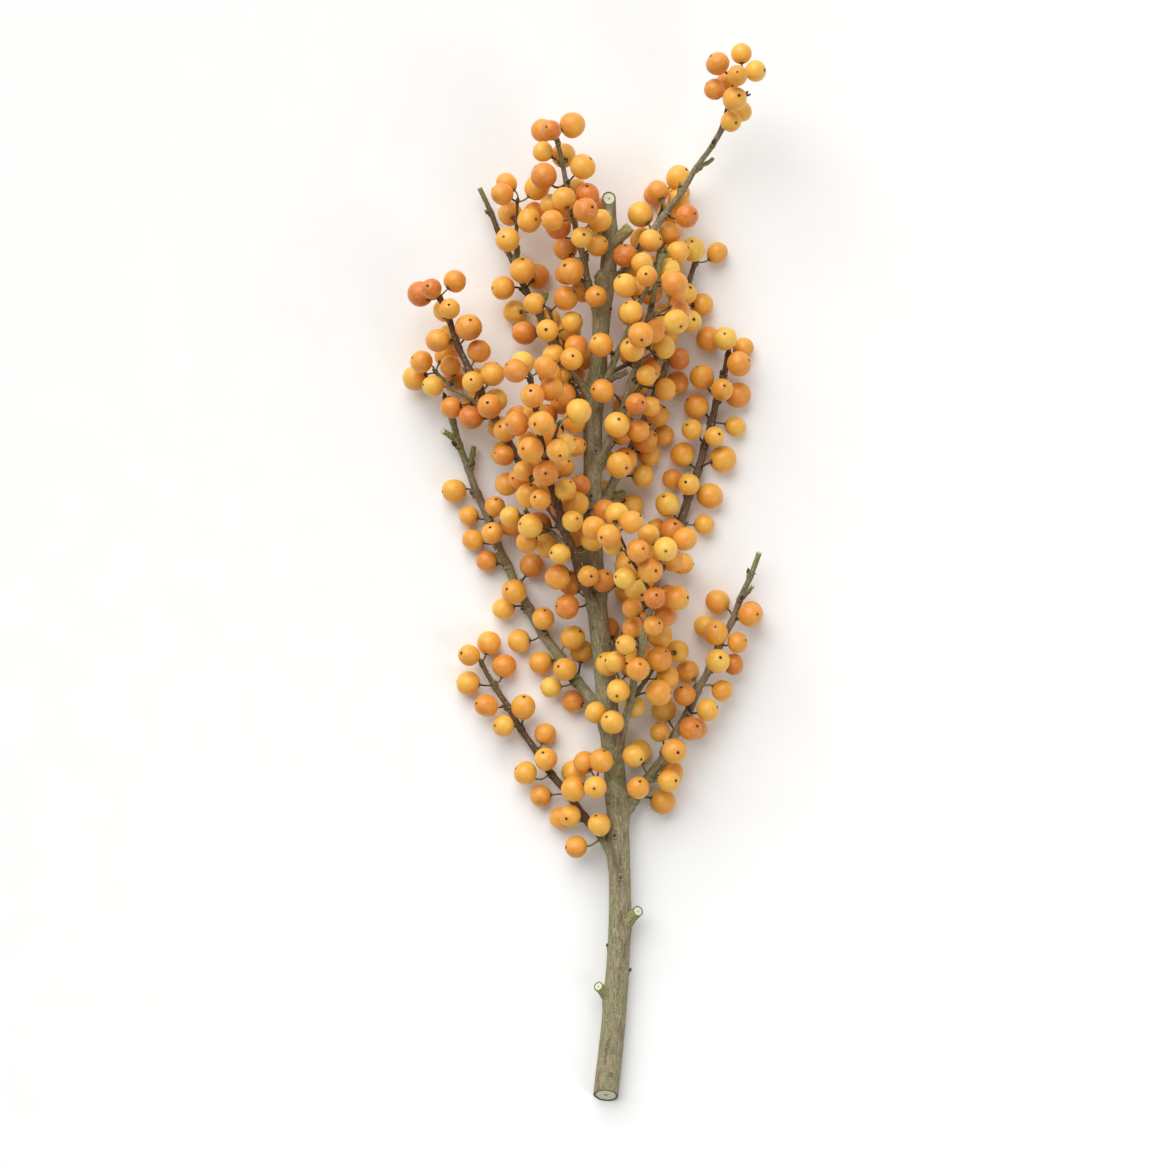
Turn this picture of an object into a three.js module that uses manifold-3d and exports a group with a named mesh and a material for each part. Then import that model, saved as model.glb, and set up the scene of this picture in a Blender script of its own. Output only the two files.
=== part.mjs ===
// A cut branch of golden winterberry, as picked: one pruned woody stem with its side shoots, and on them
// the round berries that stay after the leaves have dropped. Millimetres, +Z up.
// The branch lies on a table, the plane z = 0, with its butt towards -Y and its tips towards +Y. It rests on
// the underside of the butt and on the lowest berries to the left and right of the stem.
import * as THREE from "three";
import { mergeVertices } from "three/addons/utils/BufferGeometryUtils.js";
import Module from "manifold-3d";

const wasm = await Module();
wasm.setup();

const { Vector3 } = THREE;
const RAD = Math.PI / 180;
const UP = new Vector3(0, 0, 1);

// Driving dimensions of the main stem
const STEM_LENGTH = 446; // from the middle of the butt to the middle of the pruned top
const BUTT_PLACE = new Vector3(11, -256.4, 0); // puts the middle of the whole branch on x = y = 0
const BUTT_RADIUS = 6.1;
const TOP_RADIUS = 3.7;
const STEM_RISE = 31; // how far the top is held above the butt by the shoots under it
const RISE_POWER = 1.6; // above 1, so that the butt lies level
const STEM_BOW = 7; // sideways sweep of the stem, this many half waves long
const HALF_WAVES = 2.2;
const FORK_AT = 422; // the leader leans away from the fork above this distance from the butt
const FORK_LEAN = 0.12;
const BUTT_CUT = 32; // slant of the cut faces, in degrees from square
const TOP_CUT = 45;
const STEM_SIDES = 10;
const STEM_STEP = 20;
const STEM_REACH = 4; // the stem's direction at a place is taken from this far before it to this far after it
const STUB_SIDES = 7;
const STUB_FLARE = 1.15; // a stub's thickness at its root against that at its end
const COLLAR = 1.08; // the stem's thickness where a shoot leaves it against that between

// Driving dimensions of the shoots and what grows on them
const INTERNODE = 13; // from one bud to the next
const TURN = 144; // from one bud to the next round the shoot, in degrees
const TIP_SHARE = 0.52; // thickness at the tip against that at the root
const CURL = 0.055; // how fast a shoot turns up along the branch
const ZIGZAG = 0.09;
const WANDER = 0.05; // how far a shoot strays from its way at each bud
const UNEVEN = [0.86, 1.14]; // an internode's length against the mean
const SHOOT_SIDES = 5;
const SIDE_LENGTH = [24, 42];
const SIDE_LEAN = 42;
const SIDE_FIRST = 3; // a side twig is tried at this bud, then at every fourth, but not at the last two
const SIDE_EVERY = 4;
const SIDE_NONE = 2;
const SIDE_SHARE = 0.72; // thickness of a side twig against that of the shoot it leaves
const SIDE_TIP = 2; // how many berries a side twig's last bud bears
const SIDE_ROOM = 7; // least gap from a side twig to another shoot
const SIDE_HEIGHT = 10.6; // and least height of its buds above the table
const SIDE_TRIES = 6;
const BUNCHES = [1, 2, 0, 1, 2, 1, 0, 2, 1, 1]; // how many berries sit at a bud, over and over
const BUNCH_SPREAD = 78; // from one berry of a bud to the next round the shoot, in degrees
const BERRY_LEAN = [50, 70];
const BERRY_RADIUS = [5.3, 6.8];
const STALK_LENGTH = [2.6, 5.2];
const STALK_RADIUS = 0.75; // from its middle to a corner, as it has three
const BERRY_SIDES = 6;
const LOWEST_BUD = 5.3; // no bud lies closer to the table
const FLAT = 0.3; // how far a berry is pressed flat where it touches the table
const REACH_DOWN = 2.6; // a berry this close to the table hangs on to it
const CLEAR = 0.6; // least gap between a berry and what it doesn't grow from
const STALK_CLEAR = 1.4; // least gap between other wood and a stalk's middle line, at these shares of it
const STALK_SHARES = [0.35, 0.75];
const ROUNDING = 1e-6; // what a berry that is set on the table may seem to lie below it
const SEAT = 0.3; // gap between a shoot and the stem that carries it
const JACKET_ENDS = 2; // how far the clearance round the stem reaches past its ends
const TRIES = 40; // a berry without room turns up to this far round, in and out, and its stalk grows
const TURN_AWAY = 110;
const LEAN_IN = 30;
const LEAN_OUT = 24;
const STALK_GROWTH = 0.6;
const CORNER_OUT = 1.04; // a faceted berry's corners stand out this far, so that it is as big as a round one
const RINGS = [45, 90, 135]; // where its rings of corners lie between the stalk and the far end
const POLE_IN = 0.97; // how far from its middle the stalk's end and the far end lie
const POLE_OUT = 1.01;

// One row for each shoot: distance of its root from the butt, its direction round the stem (0 right, 90 up,
// 180 left, 270 down), how far it leans out from the stem, its length and root radius, how many buds towards
// its tip bear nothing, and otherwise how many berries its last bud bears.
const SHOOTS = [
  { name: "shoot_01", at: 118, round: 186, lean: 45, length: 118, radius: 2.3, bare: 0, tip: 3 },
  { name: "shoot_02", at: 139, round: -8, lean: 43, length: 150, radius: 2.5, bare: 3, tip: 0 },
  { name: "shoot_03", at: 163, round: 64, lean: 34, length: 118, radius: 2.3, bare: 0, tip: 3 },
  { name: "shoot_04", at: 187, round: 200, lean: 42, length: 178, radius: 2.8, bare: 4, tip: 0 },
  { name: "shoot_05", at: 213, round: -24, lean: 43, length: 172, radius: 2.8, bare: 0, tip: 3 },
  { name: "shoot_06", at: 238, round: 124, lean: 33, length: 130, radius: 2.5, bare: 0, tip: 3 },
  { name: "shoot_07", at: 265, round: 178, lean: 42, length: 146, radius: 2.6, bare: 0, tip: 3 },
  { name: "shoot_08", at: 290, round: -34, lean: 40, length: 134, radius: 2.4, bare: 0, tip: 3 },
  { name: "shoot_09", at: 309, round: 32, lean: 28, length: 112, radius: 2.3, bare: 3, tip: 0 },
  { name: "shoot_10", at: 331, round: 206, lean: 38, length: 128, radius: 2.3, bare: 4, tip: 0 },
  { name: "shoot_11", at: 346, round: 58, lean: 34, length: 62, radius: 2.0, bare: 0, tip: 3 },
  { name: "shoot_12", at: 384, round: 170, lean: 31, length: 94, radius: 2.0, bare: 0, tip: 3 },
  { name: "shoot_13", at: 400, round: -14, lean: 31, length: 112, radius: 2.0, bare: 5, tip: 0 },
];

// Short spurs on the stem itself, each with a bunch of berries
const SPURS = [
  { name: "spur_01", at: 150, round: 138, lean: 58, length: 13, radius: 1.7, bare: 0, tip: 4 },
  { name: "spur_02", at: 200, round: 62, lean: 60, length: 11, radius: 1.6, bare: 0, tip: 4 },
  { name: "spur_03", at: 251, round: 14, lean: 62, length: 12, radius: 1.7, bare: 0, tip: 4 },
  { name: "spur_04", at: 285, round: 104, lean: 60, length: 10, radius: 1.6, bare: 0, tip: 4 },
  { name: "spur_05", at: 346, round: 148, lean: 52, length: 21, radius: 2.3, bare: 0, tip: 4 },
  { name: "spur_06", at: 358, round: 10, lean: 58, length: 12, radius: 1.7, bare: 0, tip: 4 },
  { name: "spur_07", at: 424, round: 192, lean: 44, length: 15, radius: 1.8, bare: 0, tip: 4 },
];

// What is left of limbs taken off close to the stem, part of the stem's own wood: two short stubs, an old knob
// and the fork. Shoots and berries keep clear of the stub, or of its room where that is given.
const STUBS = [
  { at: 46, round: 150, lean: 50, length: 8, radius: 2.4 },
  { at: 84, round: 35, lean: 48, length: 9, radius: 2.7 },
  { at: 406, round: 150, lean: 76, length: 2.6, radius: 3.0, room: { round: 118, length: 1.6, radius: 3.2 } },
  { at: FORK_AT, round: 24, lean: 44, length: 11, radius: 2.6, room: { length: 18, radius: 3.1 } },
];

// A repeatable series of draws between low and high: each number is worked out from the last one by a
// multiplication and an addition in 32 bits
const DRAW_TIMES = 1664525;
const DRAW_PLUS = 1013904223;
const DRAW_RANGE = 2 ** 32;
let drawn = 51713;
function draw(low, high) {
  drawn = (Math.imul(drawn, DRAW_TIMES) + DRAW_PLUS) >>> 0;
  return low + ((high - low) * drawn) / DRAW_RANGE;
}

const add = (a, b, share) => a.clone().addScaledVector(b, share);

// Directions to the right of a line and above it
function across(along) {
  const right = new Vector3().crossVectors(along, UP).normalize();
  return { right, above: new Vector3().crossVectors(right, along) };
}

// The direction that leaves a line at an angle round it and a lean out from it
function leaving(along, round, lean) {
  const { right, above } = across(along);
  const out = right.multiplyScalar(Math.cos(round * RAD)).addScaledVector(above, Math.sin(round * RAD));
  return along.clone().multiplyScalar(Math.cos(lean * RAD)).addScaledVector(out, Math.sin(lean * RAD));
}

// The stem's centre line: level at the butt, then rising, with one slow sideways sweep and a kink at the fork
function stemPoint(s) {
  const share = s / STEM_LENGTH;
  const sweep = STEM_BOW * Math.sin(HALF_WAVES * Math.PI * share) + FORK_LEAN * Math.min(0, FORK_AT - s);
  const height = BUTT_RADIUS - FLAT + STEM_RISE * Math.max(0, share) ** RISE_POWER;
  return new Vector3(sweep, s, height).add(BUTT_PLACE);
}

const stemRadius = (s) => BUTT_RADIUS + ((TOP_RADIUS - BUTT_RADIUS) * s) / STEM_LENGTH;
const stemAlong = (s) => add(stemPoint(s + STEM_REACH), stemPoint(s - STEM_REACH), -1).normalize();

// Where a shoot's buds sit: internodes that turn up along the branch, and from side to side at each bud
function budPoints(root, direction, length) {
  const points = [root];
  const count = Math.max(1, Math.round(length / INTERNODE));
  const step = length / count;
  let along = direction.clone();
  let point = root;
  for (let i = 1; i <= count; i += 1) {
    const { right } = across(along);
    along.y += CURL;
    along.addScaledVector(right, ZIGZAG * (i % 2 ? 1 : -1) + draw(-WANDER, WANDER));
    along.z += draw(-WANDER, WANDER);
    along.normalize();
    point = add(point, along, step * draw(...UNEVEN));
    point.z = Math.max(point.z, LOWEST_BUD);
    along = add(point, points[i - 1], -1).normalize();
    points.push(point);
  }
  return points;
}

// A stick is one unbranched piece of wood: its bud points, the radius at each, and what its tip bears
function stick(root, direction, length, radius, bare, tip) {
  const points = budPoints(root, direction, length);
  const last = points.length - 1;
  const radii = points.map((_, i) => radius * (1 - ((1 - TIP_SHARE) * i) / last));
  return { points, radii, bare, tip, turn: draw(0, 360) };
}

// Shortest distance from a point to the straight line between two others
function toSegment(p, a, b) {
  const line = add(b, a, -1);
  const share = THREE.MathUtils.clamp(add(p, a, -1).dot(line) / line.lengthSq(), 0, 1);
  return p.distanceTo(add(a, line, share));
}

// Every length of wood that a berry has to miss
const lengths = [];
function claim(points, radii, owner) {
  for (let i = 1; i < points.length; i += 1) {
    lengths.push({ a: points[i - 1], b: points[i], radius: Math.max(radii[i - 1], radii[i]), owner });
  }
}

// Least gap from a run of points, as thick as radius, to the wood of every other owner
function woodGap(points, radius, owner) {
  let gap = Infinity;
  for (const point of points) {
    for (const w of lengths) {
      if (w.owner !== owner) gap = Math.min(gap, toSegment(point, w.a, w.b) - w.radius - radius);
    }
  }
  return gap;
}

// The stem's wood, with its stubs
const stemStations = [];
for (let s = 0; s < STEM_LENGTH; s += STEM_STEP) stemStations.push(s);
stemStations.push(STEM_LENGTH);
claim(stemStations.map(stemPoint), stemStations.map(stemRadius), "stem");
const stubLine = (stub) => {
  const root = stemPoint(stub.at);
  const direction = leaving(stemAlong(stub.at), stub.round, stub.lean);
  return [root, add(root, direction, stemRadius(stub.at) + stub.length)];
};
const stubSticks = STUBS.map((stub) => {
  const kept = { ...stub, ...stub.room };
  claim(stubLine(kept), [kept.radius, kept.radius], "stem");
  return { points: stubLine(stub), radii: [stub.radius * STUB_FLARE, stub.radius] };
});

// The shoots' wood: a leading stick, and side sticks on the longer ones where there is room
const sprays = [...SPURS, ...SHOOTS].map((spec) => {
  const root = stemPoint(spec.at);
  const direction = leaving(stemAlong(spec.at), spec.round, spec.lean);
  const length = spec.length + stemRadius(spec.at);
  const leader = stick(root, direction, length, spec.radius, spec.bare, spec.tip);
  claim(leader.points, leader.radii, spec.name);
  return { ...spec, sticks: [leader] };
});
for (const spray of sprays) {
  const [leader] = spray.sticks;
  for (let i = SIDE_FIRST; i < leader.points.length - SIDE_NONE; i += SIDE_EVERY) {
    const along = add(leader.points[i + 1], leader.points[i - 1], -1).normalize();
    for (let attempt = 0; attempt < SIDE_TRIES; attempt += 1) {
      const side = leader.turn + i * TURN + (attempt * 360) / SIDE_TRIES;
      const length = draw(...SIDE_LENGTH);
      const direction = leaving(along, side, SIDE_LEAN);
      const twig = stick(leader.points[i], direction, length, leader.radii[i] * SIDE_SHARE, 0, SIDE_TIP);
      const lowest = Math.min(...twig.points.map((p) => p.z));
      const room = woodGap(twig.points.slice(1), twig.radii[0], spray.name);
      if (lowest > SIDE_HEIGHT && room > SIDE_ROOM) {
        spray.sticks.push(twig);
        claim(twig.points, twig.radii, spray.name);
        break;
      }
    }
  }
}

// A berry is clear when neither it nor its stalk meets another berry, any other wood or the table
const berries = [];
function isClear(berry) {
  const { centre, radius, foot } = berry;
  const stalk = STALK_SHARES.map((share) => foot.clone().lerp(centre, share));
  for (const b of berries) {
    if (b.centre.distanceTo(centre) < b.radius + radius + CLEAR) return false;
    if (toSegment(b.centre, foot, centre) < b.radius + CLEAR) return false;
    if (toSegment(centre, b.foot, b.centre) < radius + CLEAR) return false;
  }
  for (const w of lengths) {
    if (toSegment(centre, w.a, w.b) < radius + w.radius + CLEAR) return false;
    const near = (p) => toSegment(p, w.a, w.b) < w.radius + STALK_CLEAR;
    if (w.owner !== berry.owner && stalk.some(near)) return false;
  }
  return centre.z >= radius - FLAT - ROUNDING;
}

// One berry on its stalk from a bud, tried further round and further out until it has room
function hangBerry(owner, foot, along, round, lean, thickness) {
  const radius = draw(...BERRY_RADIUS);
  const stalk = draw(...STALK_LENGTH);
  for (let attempt = 0; attempt < TRIES; attempt += 1) {
    const give = attempt / TRIES;
    const turned = round + give * draw(-TURN_AWAY, TURN_AWAY);
    const direction = leaving(along, turned, lean + give * draw(-LEAN_IN, LEAN_OUT));
    const centre = add(foot, direction, thickness + stalk * (1 + STALK_GROWTH * give) + radius);
    if (centre.z - radius < REACH_DOWN) centre.z = radius - FLAT;
    const berry = { owner, foot, centre, radius };
    if (isClear(berry)) {
      berries.push(berry);
      return;
    }
  }
}

// Berries at every bud that bears
let bud = 0;
for (const spray of sprays) {
  for (const [k, wood] of spray.sticks.entries()) {
    const last = wood.points.length - 1;
    for (let i = 1; i <= last - wood.bare; i += 1) {
      const along = add(wood.points[i], wood.points[i - 1], -1).normalize();
      const round = wood.turn + (i + k) * TURN;
      const count = i === last ? wood.tip : BUNCHES[bud % BUNCHES.length];
      bud += 1;
      for (let n = 0; n < count; n += 1) {
        const spread = i === last ? (360 * n) / count : BUNCH_SPREAD * (n - (count - 1) / 2);
        hangBerry(spray.name, wood.points[i], along, round + spread, draw(...BERRY_LEAN), wood.radii[i]);
      }
    }
  }
}

// A closed mesh as a solid, its shared corners merged and its empty triangles dropped
const WELD = 1e-4;
function solidOf(geometry) {
  const bare = geometry.clone();
  bare.deleteAttribute("normal");
  bare.deleteAttribute("uv");
  const merged = mergeVertices(bare, WELD);
  const triVerts = [];
  for (let i = 0; i < merged.index.count; i += 3) {
    const [a, b, c] = [0, 1, 2].map((k) => merged.index.getX(i + k));
    if (a !== b && b !== c && c !== a) triVerts.push(a, b, c);
  }
  const shape = { numProp: 3, vertProperties: merged.attributes.position.array };
  return new wasm.Manifold(new wasm.Mesh({ ...shape, triVerts: new Uint32Array(triVerts) }));
}

// A solid as a named mesh of its own colour
function meshOf(name, solid, material) {
  const { vertProperties, triVerts } = solid.getMesh();
  const geometry = new THREE.BufferGeometry();
  geometry.setAttribute("position", new THREE.BufferAttribute(vertProperties, 3));
  geometry.setIndex(new THREE.BufferAttribute(triVerts, 1));
  geometry.computeVertexNormals();
  const mesh = new THREE.Mesh(geometry, material);
  mesh.name = name;
  return mesh;
}

// A round bar along a line of points, with its own radius at each, a flat end at both and a corner below
function bar(points, radii, sides) {
  const position = [];
  const index = [];
  const count = points.length;
  for (let i = 0; i < count; i += 1) {
    const ahead = points[Math.min(i + 1, count - 1)];
    const behind = points[Math.max(i - 1, 0)];
    const { right, above } = across(add(ahead, behind, -1).normalize());
    for (let k = 0; k < sides; k += 1) {
      const angle = (2 * Math.PI * (k + 0.5)) / sides;
      const out = right.clone().multiplyScalar(Math.cos(angle)).addScaledVector(above, Math.sin(angle));
      position.push(...add(points[i], out, radii[i]).toArray());
    }
  }
  const first = position.length / 3;
  position.push(...points[0].toArray(), ...points[count - 1].toArray());
  for (let k = 0; k < sides; k += 1) {
    const next = (k + 1) % sides;
    for (let i = 0; i < count - 1; i += 1) {
      const a = i * sides + k;
      const b = i * sides + next;
      index.push(a, a + sides, b, b, a + sides, b + sides);
    }
    const end = (count - 1) * sides;
    index.push(first, k, next, first + 1, end + next, end + k);
  }
  const geometry = new THREE.BufferGeometry();
  geometry.setAttribute("position", new THREE.Float32BufferAttribute(position, 3));
  geometry.setIndex(index);
  return solidOf(geometry);
}

// A berry with its stalk as one turned body, each ring of corners half a step round from the last. Every
// second corner of the stalk falls on the one before it, which leaves it three sides.
function berrySolid({ centre, radius, foot }) {
  const reach = foot.distanceTo(centre);
  const corner = radius * CORNER_OUT;
  const rings = RINGS.map((angle) => angle * RAD);
  const profile = [
    new THREE.Vector2(0, 0),
    new THREE.Vector2(STALK_RADIUS, 0),
    new THREE.Vector2(STALK_RADIUS, reach - radius * POLE_IN),
    ...rings.map((a) => new THREE.Vector2(corner * Math.sin(a), reach - corner * Math.cos(a))),
    new THREE.Vector2(0, reach + radius * POLE_OUT),
  ];
  const turned = new THREE.LatheGeometry(profile, BERRY_SIDES);
  const corners = turned.getAttribute("position");
  const point = new Vector3();
  const axis = new Vector3(0, 1, 0);
  for (let i = 0; i < corners.count; i += 1) {
    const ring = i % profile.length;
    const side = Math.floor(i / profile.length);
    const halfSteps = ring > 2 ? ring - 2 : -2 * (side % 2);
    point.fromBufferAttribute(corners, i).applyAxisAngle(axis, (halfSteps * Math.PI) / BERRY_SIDES);
    corners.setXYZ(i, point.x, point.y, point.z);
  }
  const direction = add(centre, foot, -1).normalize();
  turned.applyQuaternion(new THREE.Quaternion().setFromUnitVectors(axis, direction));
  turned.translate(foot.x, foot.y, foot.z);
  return solidOf(turned);
}

// A large block that takes away what lies beyond a point, cut square to a direction
const BLOCK = 1200;
function blockBeyond(point, direction) {
  const block = new THREE.BoxGeometry(BLOCK, BLOCK, BLOCK);
  block.translate(0, 0, BLOCK / 2);
  block.applyQuaternion(new THREE.Quaternion().setFromUnitVectors(UP, direction));
  block.translate(point.x, point.y, point.z);
  return solidOf(block);
}

const bark = new THREE.MeshStandardMaterial({ color: 0x776f5c, roughness: 0.85, metalness: 0 });
const fruit = new THREE.MeshStandardMaterial({ color: 0xf0a63c, roughness: 0.42, metalness: 0 });

// The pruned stem, with a collar where each shoot leaves it
function stemSolid(extra, ends) {
  const run = [...stemStations];
  run[0] -= ends;
  run[run.length - 1] += ends;
  const swell = (s) => sprays.some((p) => Math.abs(p.at - s) < STEM_STEP / 2);
  const radii = run.map((s) => stemRadius(s) * (swell(s) ? COLLAR : 1) + extra);
  const parts = [bar(run.map(stemPoint), radii, STEM_SIDES)];
  for (const stub of stubSticks) parts.push(bar(stub.points, stub.radii.map((r) => r + extra), STUB_SIDES));
  return wasm.Manifold.union(parts);
}

const table = blockBeyond(new Vector3(0, 0, 0), new Vector3(0, 0, -1));
const slant = (end, cut) => new Vector3(0, end * Math.cos(cut * RAD), Math.sin(cut * RAD));
const buttCut = blockBeyond(stemPoint(0), slant(-1, BUTT_CUT));
const topCut = blockBeyond(stemPoint(STEM_LENGTH), slant(1, TOP_CUT));
const jacket = stemSolid(SEAT, JACKET_ENDS);

const branch = new THREE.Group();
const stem = stemSolid(0, BUTT_RADIUS).subtract(buttCut).subtract(topCut).subtract(table);
branch.add(meshOf("main_stem", stem, bark));

for (const spray of sprays) {
  const own = berries.filter((berry) => berry.owner === spray.name);
  const wood = spray.sticks.map((twig) => bar(twig.points, twig.radii, SHOOT_SIDES));
  const parts = [...wood, ...own.map(berrySolid)];
  branch.add(meshOf(spray.name, wasm.Manifold.union(parts).subtract(jacket).subtract(table), fruit));
}

export default branch;
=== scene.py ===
# A cut branch of golden winterberry, lying on a table with its butt towards -Y and its tips towards +Y.
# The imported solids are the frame: main_stem, shoot_01 to shoot_13 and spur_01 to spur_07.
import math

import bpy
import numpy as np
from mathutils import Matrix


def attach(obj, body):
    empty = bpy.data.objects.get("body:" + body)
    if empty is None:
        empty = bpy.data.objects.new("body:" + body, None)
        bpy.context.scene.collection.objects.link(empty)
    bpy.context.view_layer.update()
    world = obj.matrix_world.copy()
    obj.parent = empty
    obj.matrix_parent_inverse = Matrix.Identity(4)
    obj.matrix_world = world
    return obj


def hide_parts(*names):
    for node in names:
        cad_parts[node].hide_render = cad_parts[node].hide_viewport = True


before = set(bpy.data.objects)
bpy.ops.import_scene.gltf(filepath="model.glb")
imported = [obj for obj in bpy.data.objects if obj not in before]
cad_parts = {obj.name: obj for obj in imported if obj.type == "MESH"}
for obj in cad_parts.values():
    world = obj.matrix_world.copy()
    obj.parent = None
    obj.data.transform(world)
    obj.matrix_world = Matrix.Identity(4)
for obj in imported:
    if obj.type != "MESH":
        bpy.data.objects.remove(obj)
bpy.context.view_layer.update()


# THE MAIN STEM
# One grown piece of wood, thickest at the butt, in a thin grey-olive bark with pale pores. It was cut
# slanting at both ends. Limbs taken off close to it left a fork stub near the top, an old knob and two short
# stubs lower down, and each shoot still on it leaves the wood in a swollen collar.
MM = 0.001  # the solids were drawn in millimetres, and so are the sizes below
STEM_LENGTH = 446
BUTT_PLACE = np.array([11, -256.4, 0])
BUTT_RADIUS = 6.1
TOP_RADIUS = 3.7
STEM_RISE = 31
RISE_POWER = 1.6
STEM_BOW = 7
HALF_WAVES = 2.2
FORK_AT = 422
FORK_LEAN = 0.12
BUTT_CUT = 32  # slant of the cut faces, in degrees from square
TOP_CUT = 45
STUB_CUT = -0.42  # slant of a stub's cut face, as a tangent
FORK_CUT = 0.2
STEM_STEP = 20  # length of the straight parts by which the stem's room is kept free
STEM_REACH = 4  # the stem's direction at a place is taken from this far before it to this far after it
FLAT = 0.3  # how far the butt and the lowest berries are pressed flat on the table
STEM_SIDES = 56
STATION = 0.7  # from one ring of the modelled stem to the next
STUB_SIDES = 30
STUB_STATION = 0.5
OUT_OF_ROUND = 0.022  # of the stem's radius
LEADER_THINNER = 0.10  # of its radius, above the fork
RIPPLE = 0.055  # height of the bark's waves, and of the finer ones
FINE_RIPPLE = 0.035
COLLAR = (0.55, 2.2)  # height and length against the shoot's radius, and of a stub's
STUB_COLLAR = (0.45, 2.0)
SLANT_REACH = 14  # how far from an end the rings begin to lean towards its cut
CUT_RADIUS = 5  # the wood for which CUT_END and GROWN_END are written
ANY_TURN = (0, 6.3)  # a random direction round, in radians
ANY_PLACE = 300  # how far a bar's pattern may be shifted, so that no two are alike
# Stubs: distance from the butt, direction round the stem, lean, length and radius
SHORT_STUBS = [(46, 150, 50, 8, 2.4), (84, 35, 48, 9, 2.7)]
FORK = (FORK_AT, 24, 44, 11, 2.6)
KNOB = (406, 150, 2.6, 3.0)  # place, direction, height and radius of a limb's cut that has grown over
# Shoots and spurs: name, place on the stem as for a stub, length, radius, bare buds and berries at the tip
SPRAYS = [
    ("spur_01", 150, 138, 58, 13, 1.7, 0, 4),
    ("spur_02", 200, 62, 60, 11, 1.6, 0, 4),
    ("spur_03", 251, 14, 62, 12, 1.7, 0, 4),
    ("spur_04", 285, 104, 60, 10, 1.6, 0, 4),
    ("spur_05", 346, 148, 52, 21, 2.3, 0, 4),
    ("spur_06", 358, 10, 58, 12, 1.7, 0, 4),
    ("spur_07", 424, 192, 44, 15, 1.8, 0, 4),
    ("shoot_01", 118, 186, 45, 118, 2.3, 0, 3),
    ("shoot_02", 139, -8, 43, 150, 2.5, 3, 0),
    ("shoot_03", 163, 64, 34, 118, 2.3, 0, 3),
    ("shoot_04", 187, 200, 42, 178, 2.8, 4, 0),
    ("shoot_05", 213, -24, 43, 172, 2.8, 0, 3),
    ("shoot_06", 238, 124, 33, 130, 2.5, 0, 3),
    ("shoot_07", 265, 178, 42, 146, 2.6, 0, 3),
    ("shoot_08", 290, -34, 40, 134, 2.4, 0, 3),
    ("shoot_09", 309, 32, 28, 112, 2.3, 3, 0),
    ("shoot_10", 331, 206, 38, 128, 2.3, 4, 0),
    ("shoot_11", 346, 58, 34, 62, 2.0, 0, 3),
    ("shoot_12", 384, 170, 31, 94, 2.0, 0, 3),
    ("shoot_13", 400, -14, 31, 112, 2.0, 5, 0),
]
UP = np.array([0.0, 0.0, 1.0])


def unit(lines):
    """Directions of length 1: each line over its own length."""
    return lines / np.linalg.norm(lines, axis=-1, keepdims=True)


def across(along, upright=UP):
    """Directions to the right of a line and above it: line x upright, and right x line."""
    right = unit(np.cross(along, upright))
    return right, np.cross(right, along)


def leaving(along, turned, lean):
    """Direction that leaves a line: line cos(lean) + (right cos(turned) + above sin(turned)) sin(lean)."""
    right, above = across(along)
    out = right * math.cos(math.radians(turned)) + above * math.sin(math.radians(turned))
    return along * math.cos(math.radians(lean)) + out * math.sin(math.radians(lean))


def stem_point(s):
    """The stem's centre line: x = bow sin(half waves pi s/L) + fork lean min(0, fork - s), y = s,
    z = rise (s/L)^power, all from the butt's place."""
    s = np.asarray(s, dtype=float)
    share = s / STEM_LENGTH
    sweep = STEM_BOW * np.sin(HALF_WAVES * math.pi * share) + FORK_LEAN * np.minimum(0, FORK_AT - s)
    height = BUTT_RADIUS - FLAT + STEM_RISE * np.maximum(0, share) ** RISE_POWER
    return np.stack([sweep, s, height], axis=-1) + BUTT_PLACE


def stem_radius(s):
    """Radius that falls evenly from the butt to the top."""
    return BUTT_RADIUS + (TOP_RADIUS - BUTT_RADIUS) * np.asarray(s, dtype=float) / STEM_LENGTH


def stem_along(s):
    """Direction of the stem: from a little before a place to a little after it."""
    return unit(stem_point(s + STEM_REACH) - stem_point(s - STEM_REACH))


def closed_skin(rings, start, end, finish=0, **values):
    """Closed surfaces from rings[body, ring, side] of points and one point beyond each end: corner (i, k)
    joins (i + 1, k), (i + 1, k + 1) and (i, k + 1), and the last side joins the first. finish is a material
    for each row of faces. Each value is given at the rings, and an end point has its ring's mean."""
    bodies, count, sides = rings.shape[:3]
    corners = np.concatenate([rings.reshape(bodies, -1, 3), start[:, None], end[:, None]], axis=1)
    ring, side = np.meshgrid(np.arange(count - 1) * sides, np.arange(sides), indexing="ij")
    here = (ring + side).ravel()
    beside = (ring + (side + 1) % sides).ravel()
    quads = np.stack([here, here + sides, beside + sides, beside], axis=1)
    k = np.arange(sides)
    after = (k + 1) % sides
    last = (count - 1) * sides
    first_fan = np.stack([np.full(sides, count * sides), k, after], axis=1)
    last_fan = np.stack([np.full(sides, count * sides + 1), last + after, last + k], axis=1)
    fans = np.concatenate([first_fan, last_fan])
    shift = (np.arange(bodies) * corners.shape[1])[:, None, None]
    rows = np.broadcast_to(finish, count - 1)
    given = {}
    for key, value in values.items():
        value = np.broadcast_to(value, (bodies, count, sides) + np.shape(value)[3:])
        ends = [value[:, :1].mean(2), value[:, -1:].mean(2)]
        flat = value.reshape(bodies, -1, *value.shape[3:])
        given[key] = np.concatenate([flat, *ends], axis=1).reshape(-1, *value.shape[3:])
    return {
        "corners": corners.reshape(-1, 3),
        "quads": (quads + shift).reshape(-1, 4),
        "fans": (fans + shift).reshape(-1, 3),
        "quad_finish": np.tile(np.repeat(rows, sides), bodies),
        "fan_finish": np.tile(np.repeat(rows[[0, -1]], sides), bodies),
        **given,
    }


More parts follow.
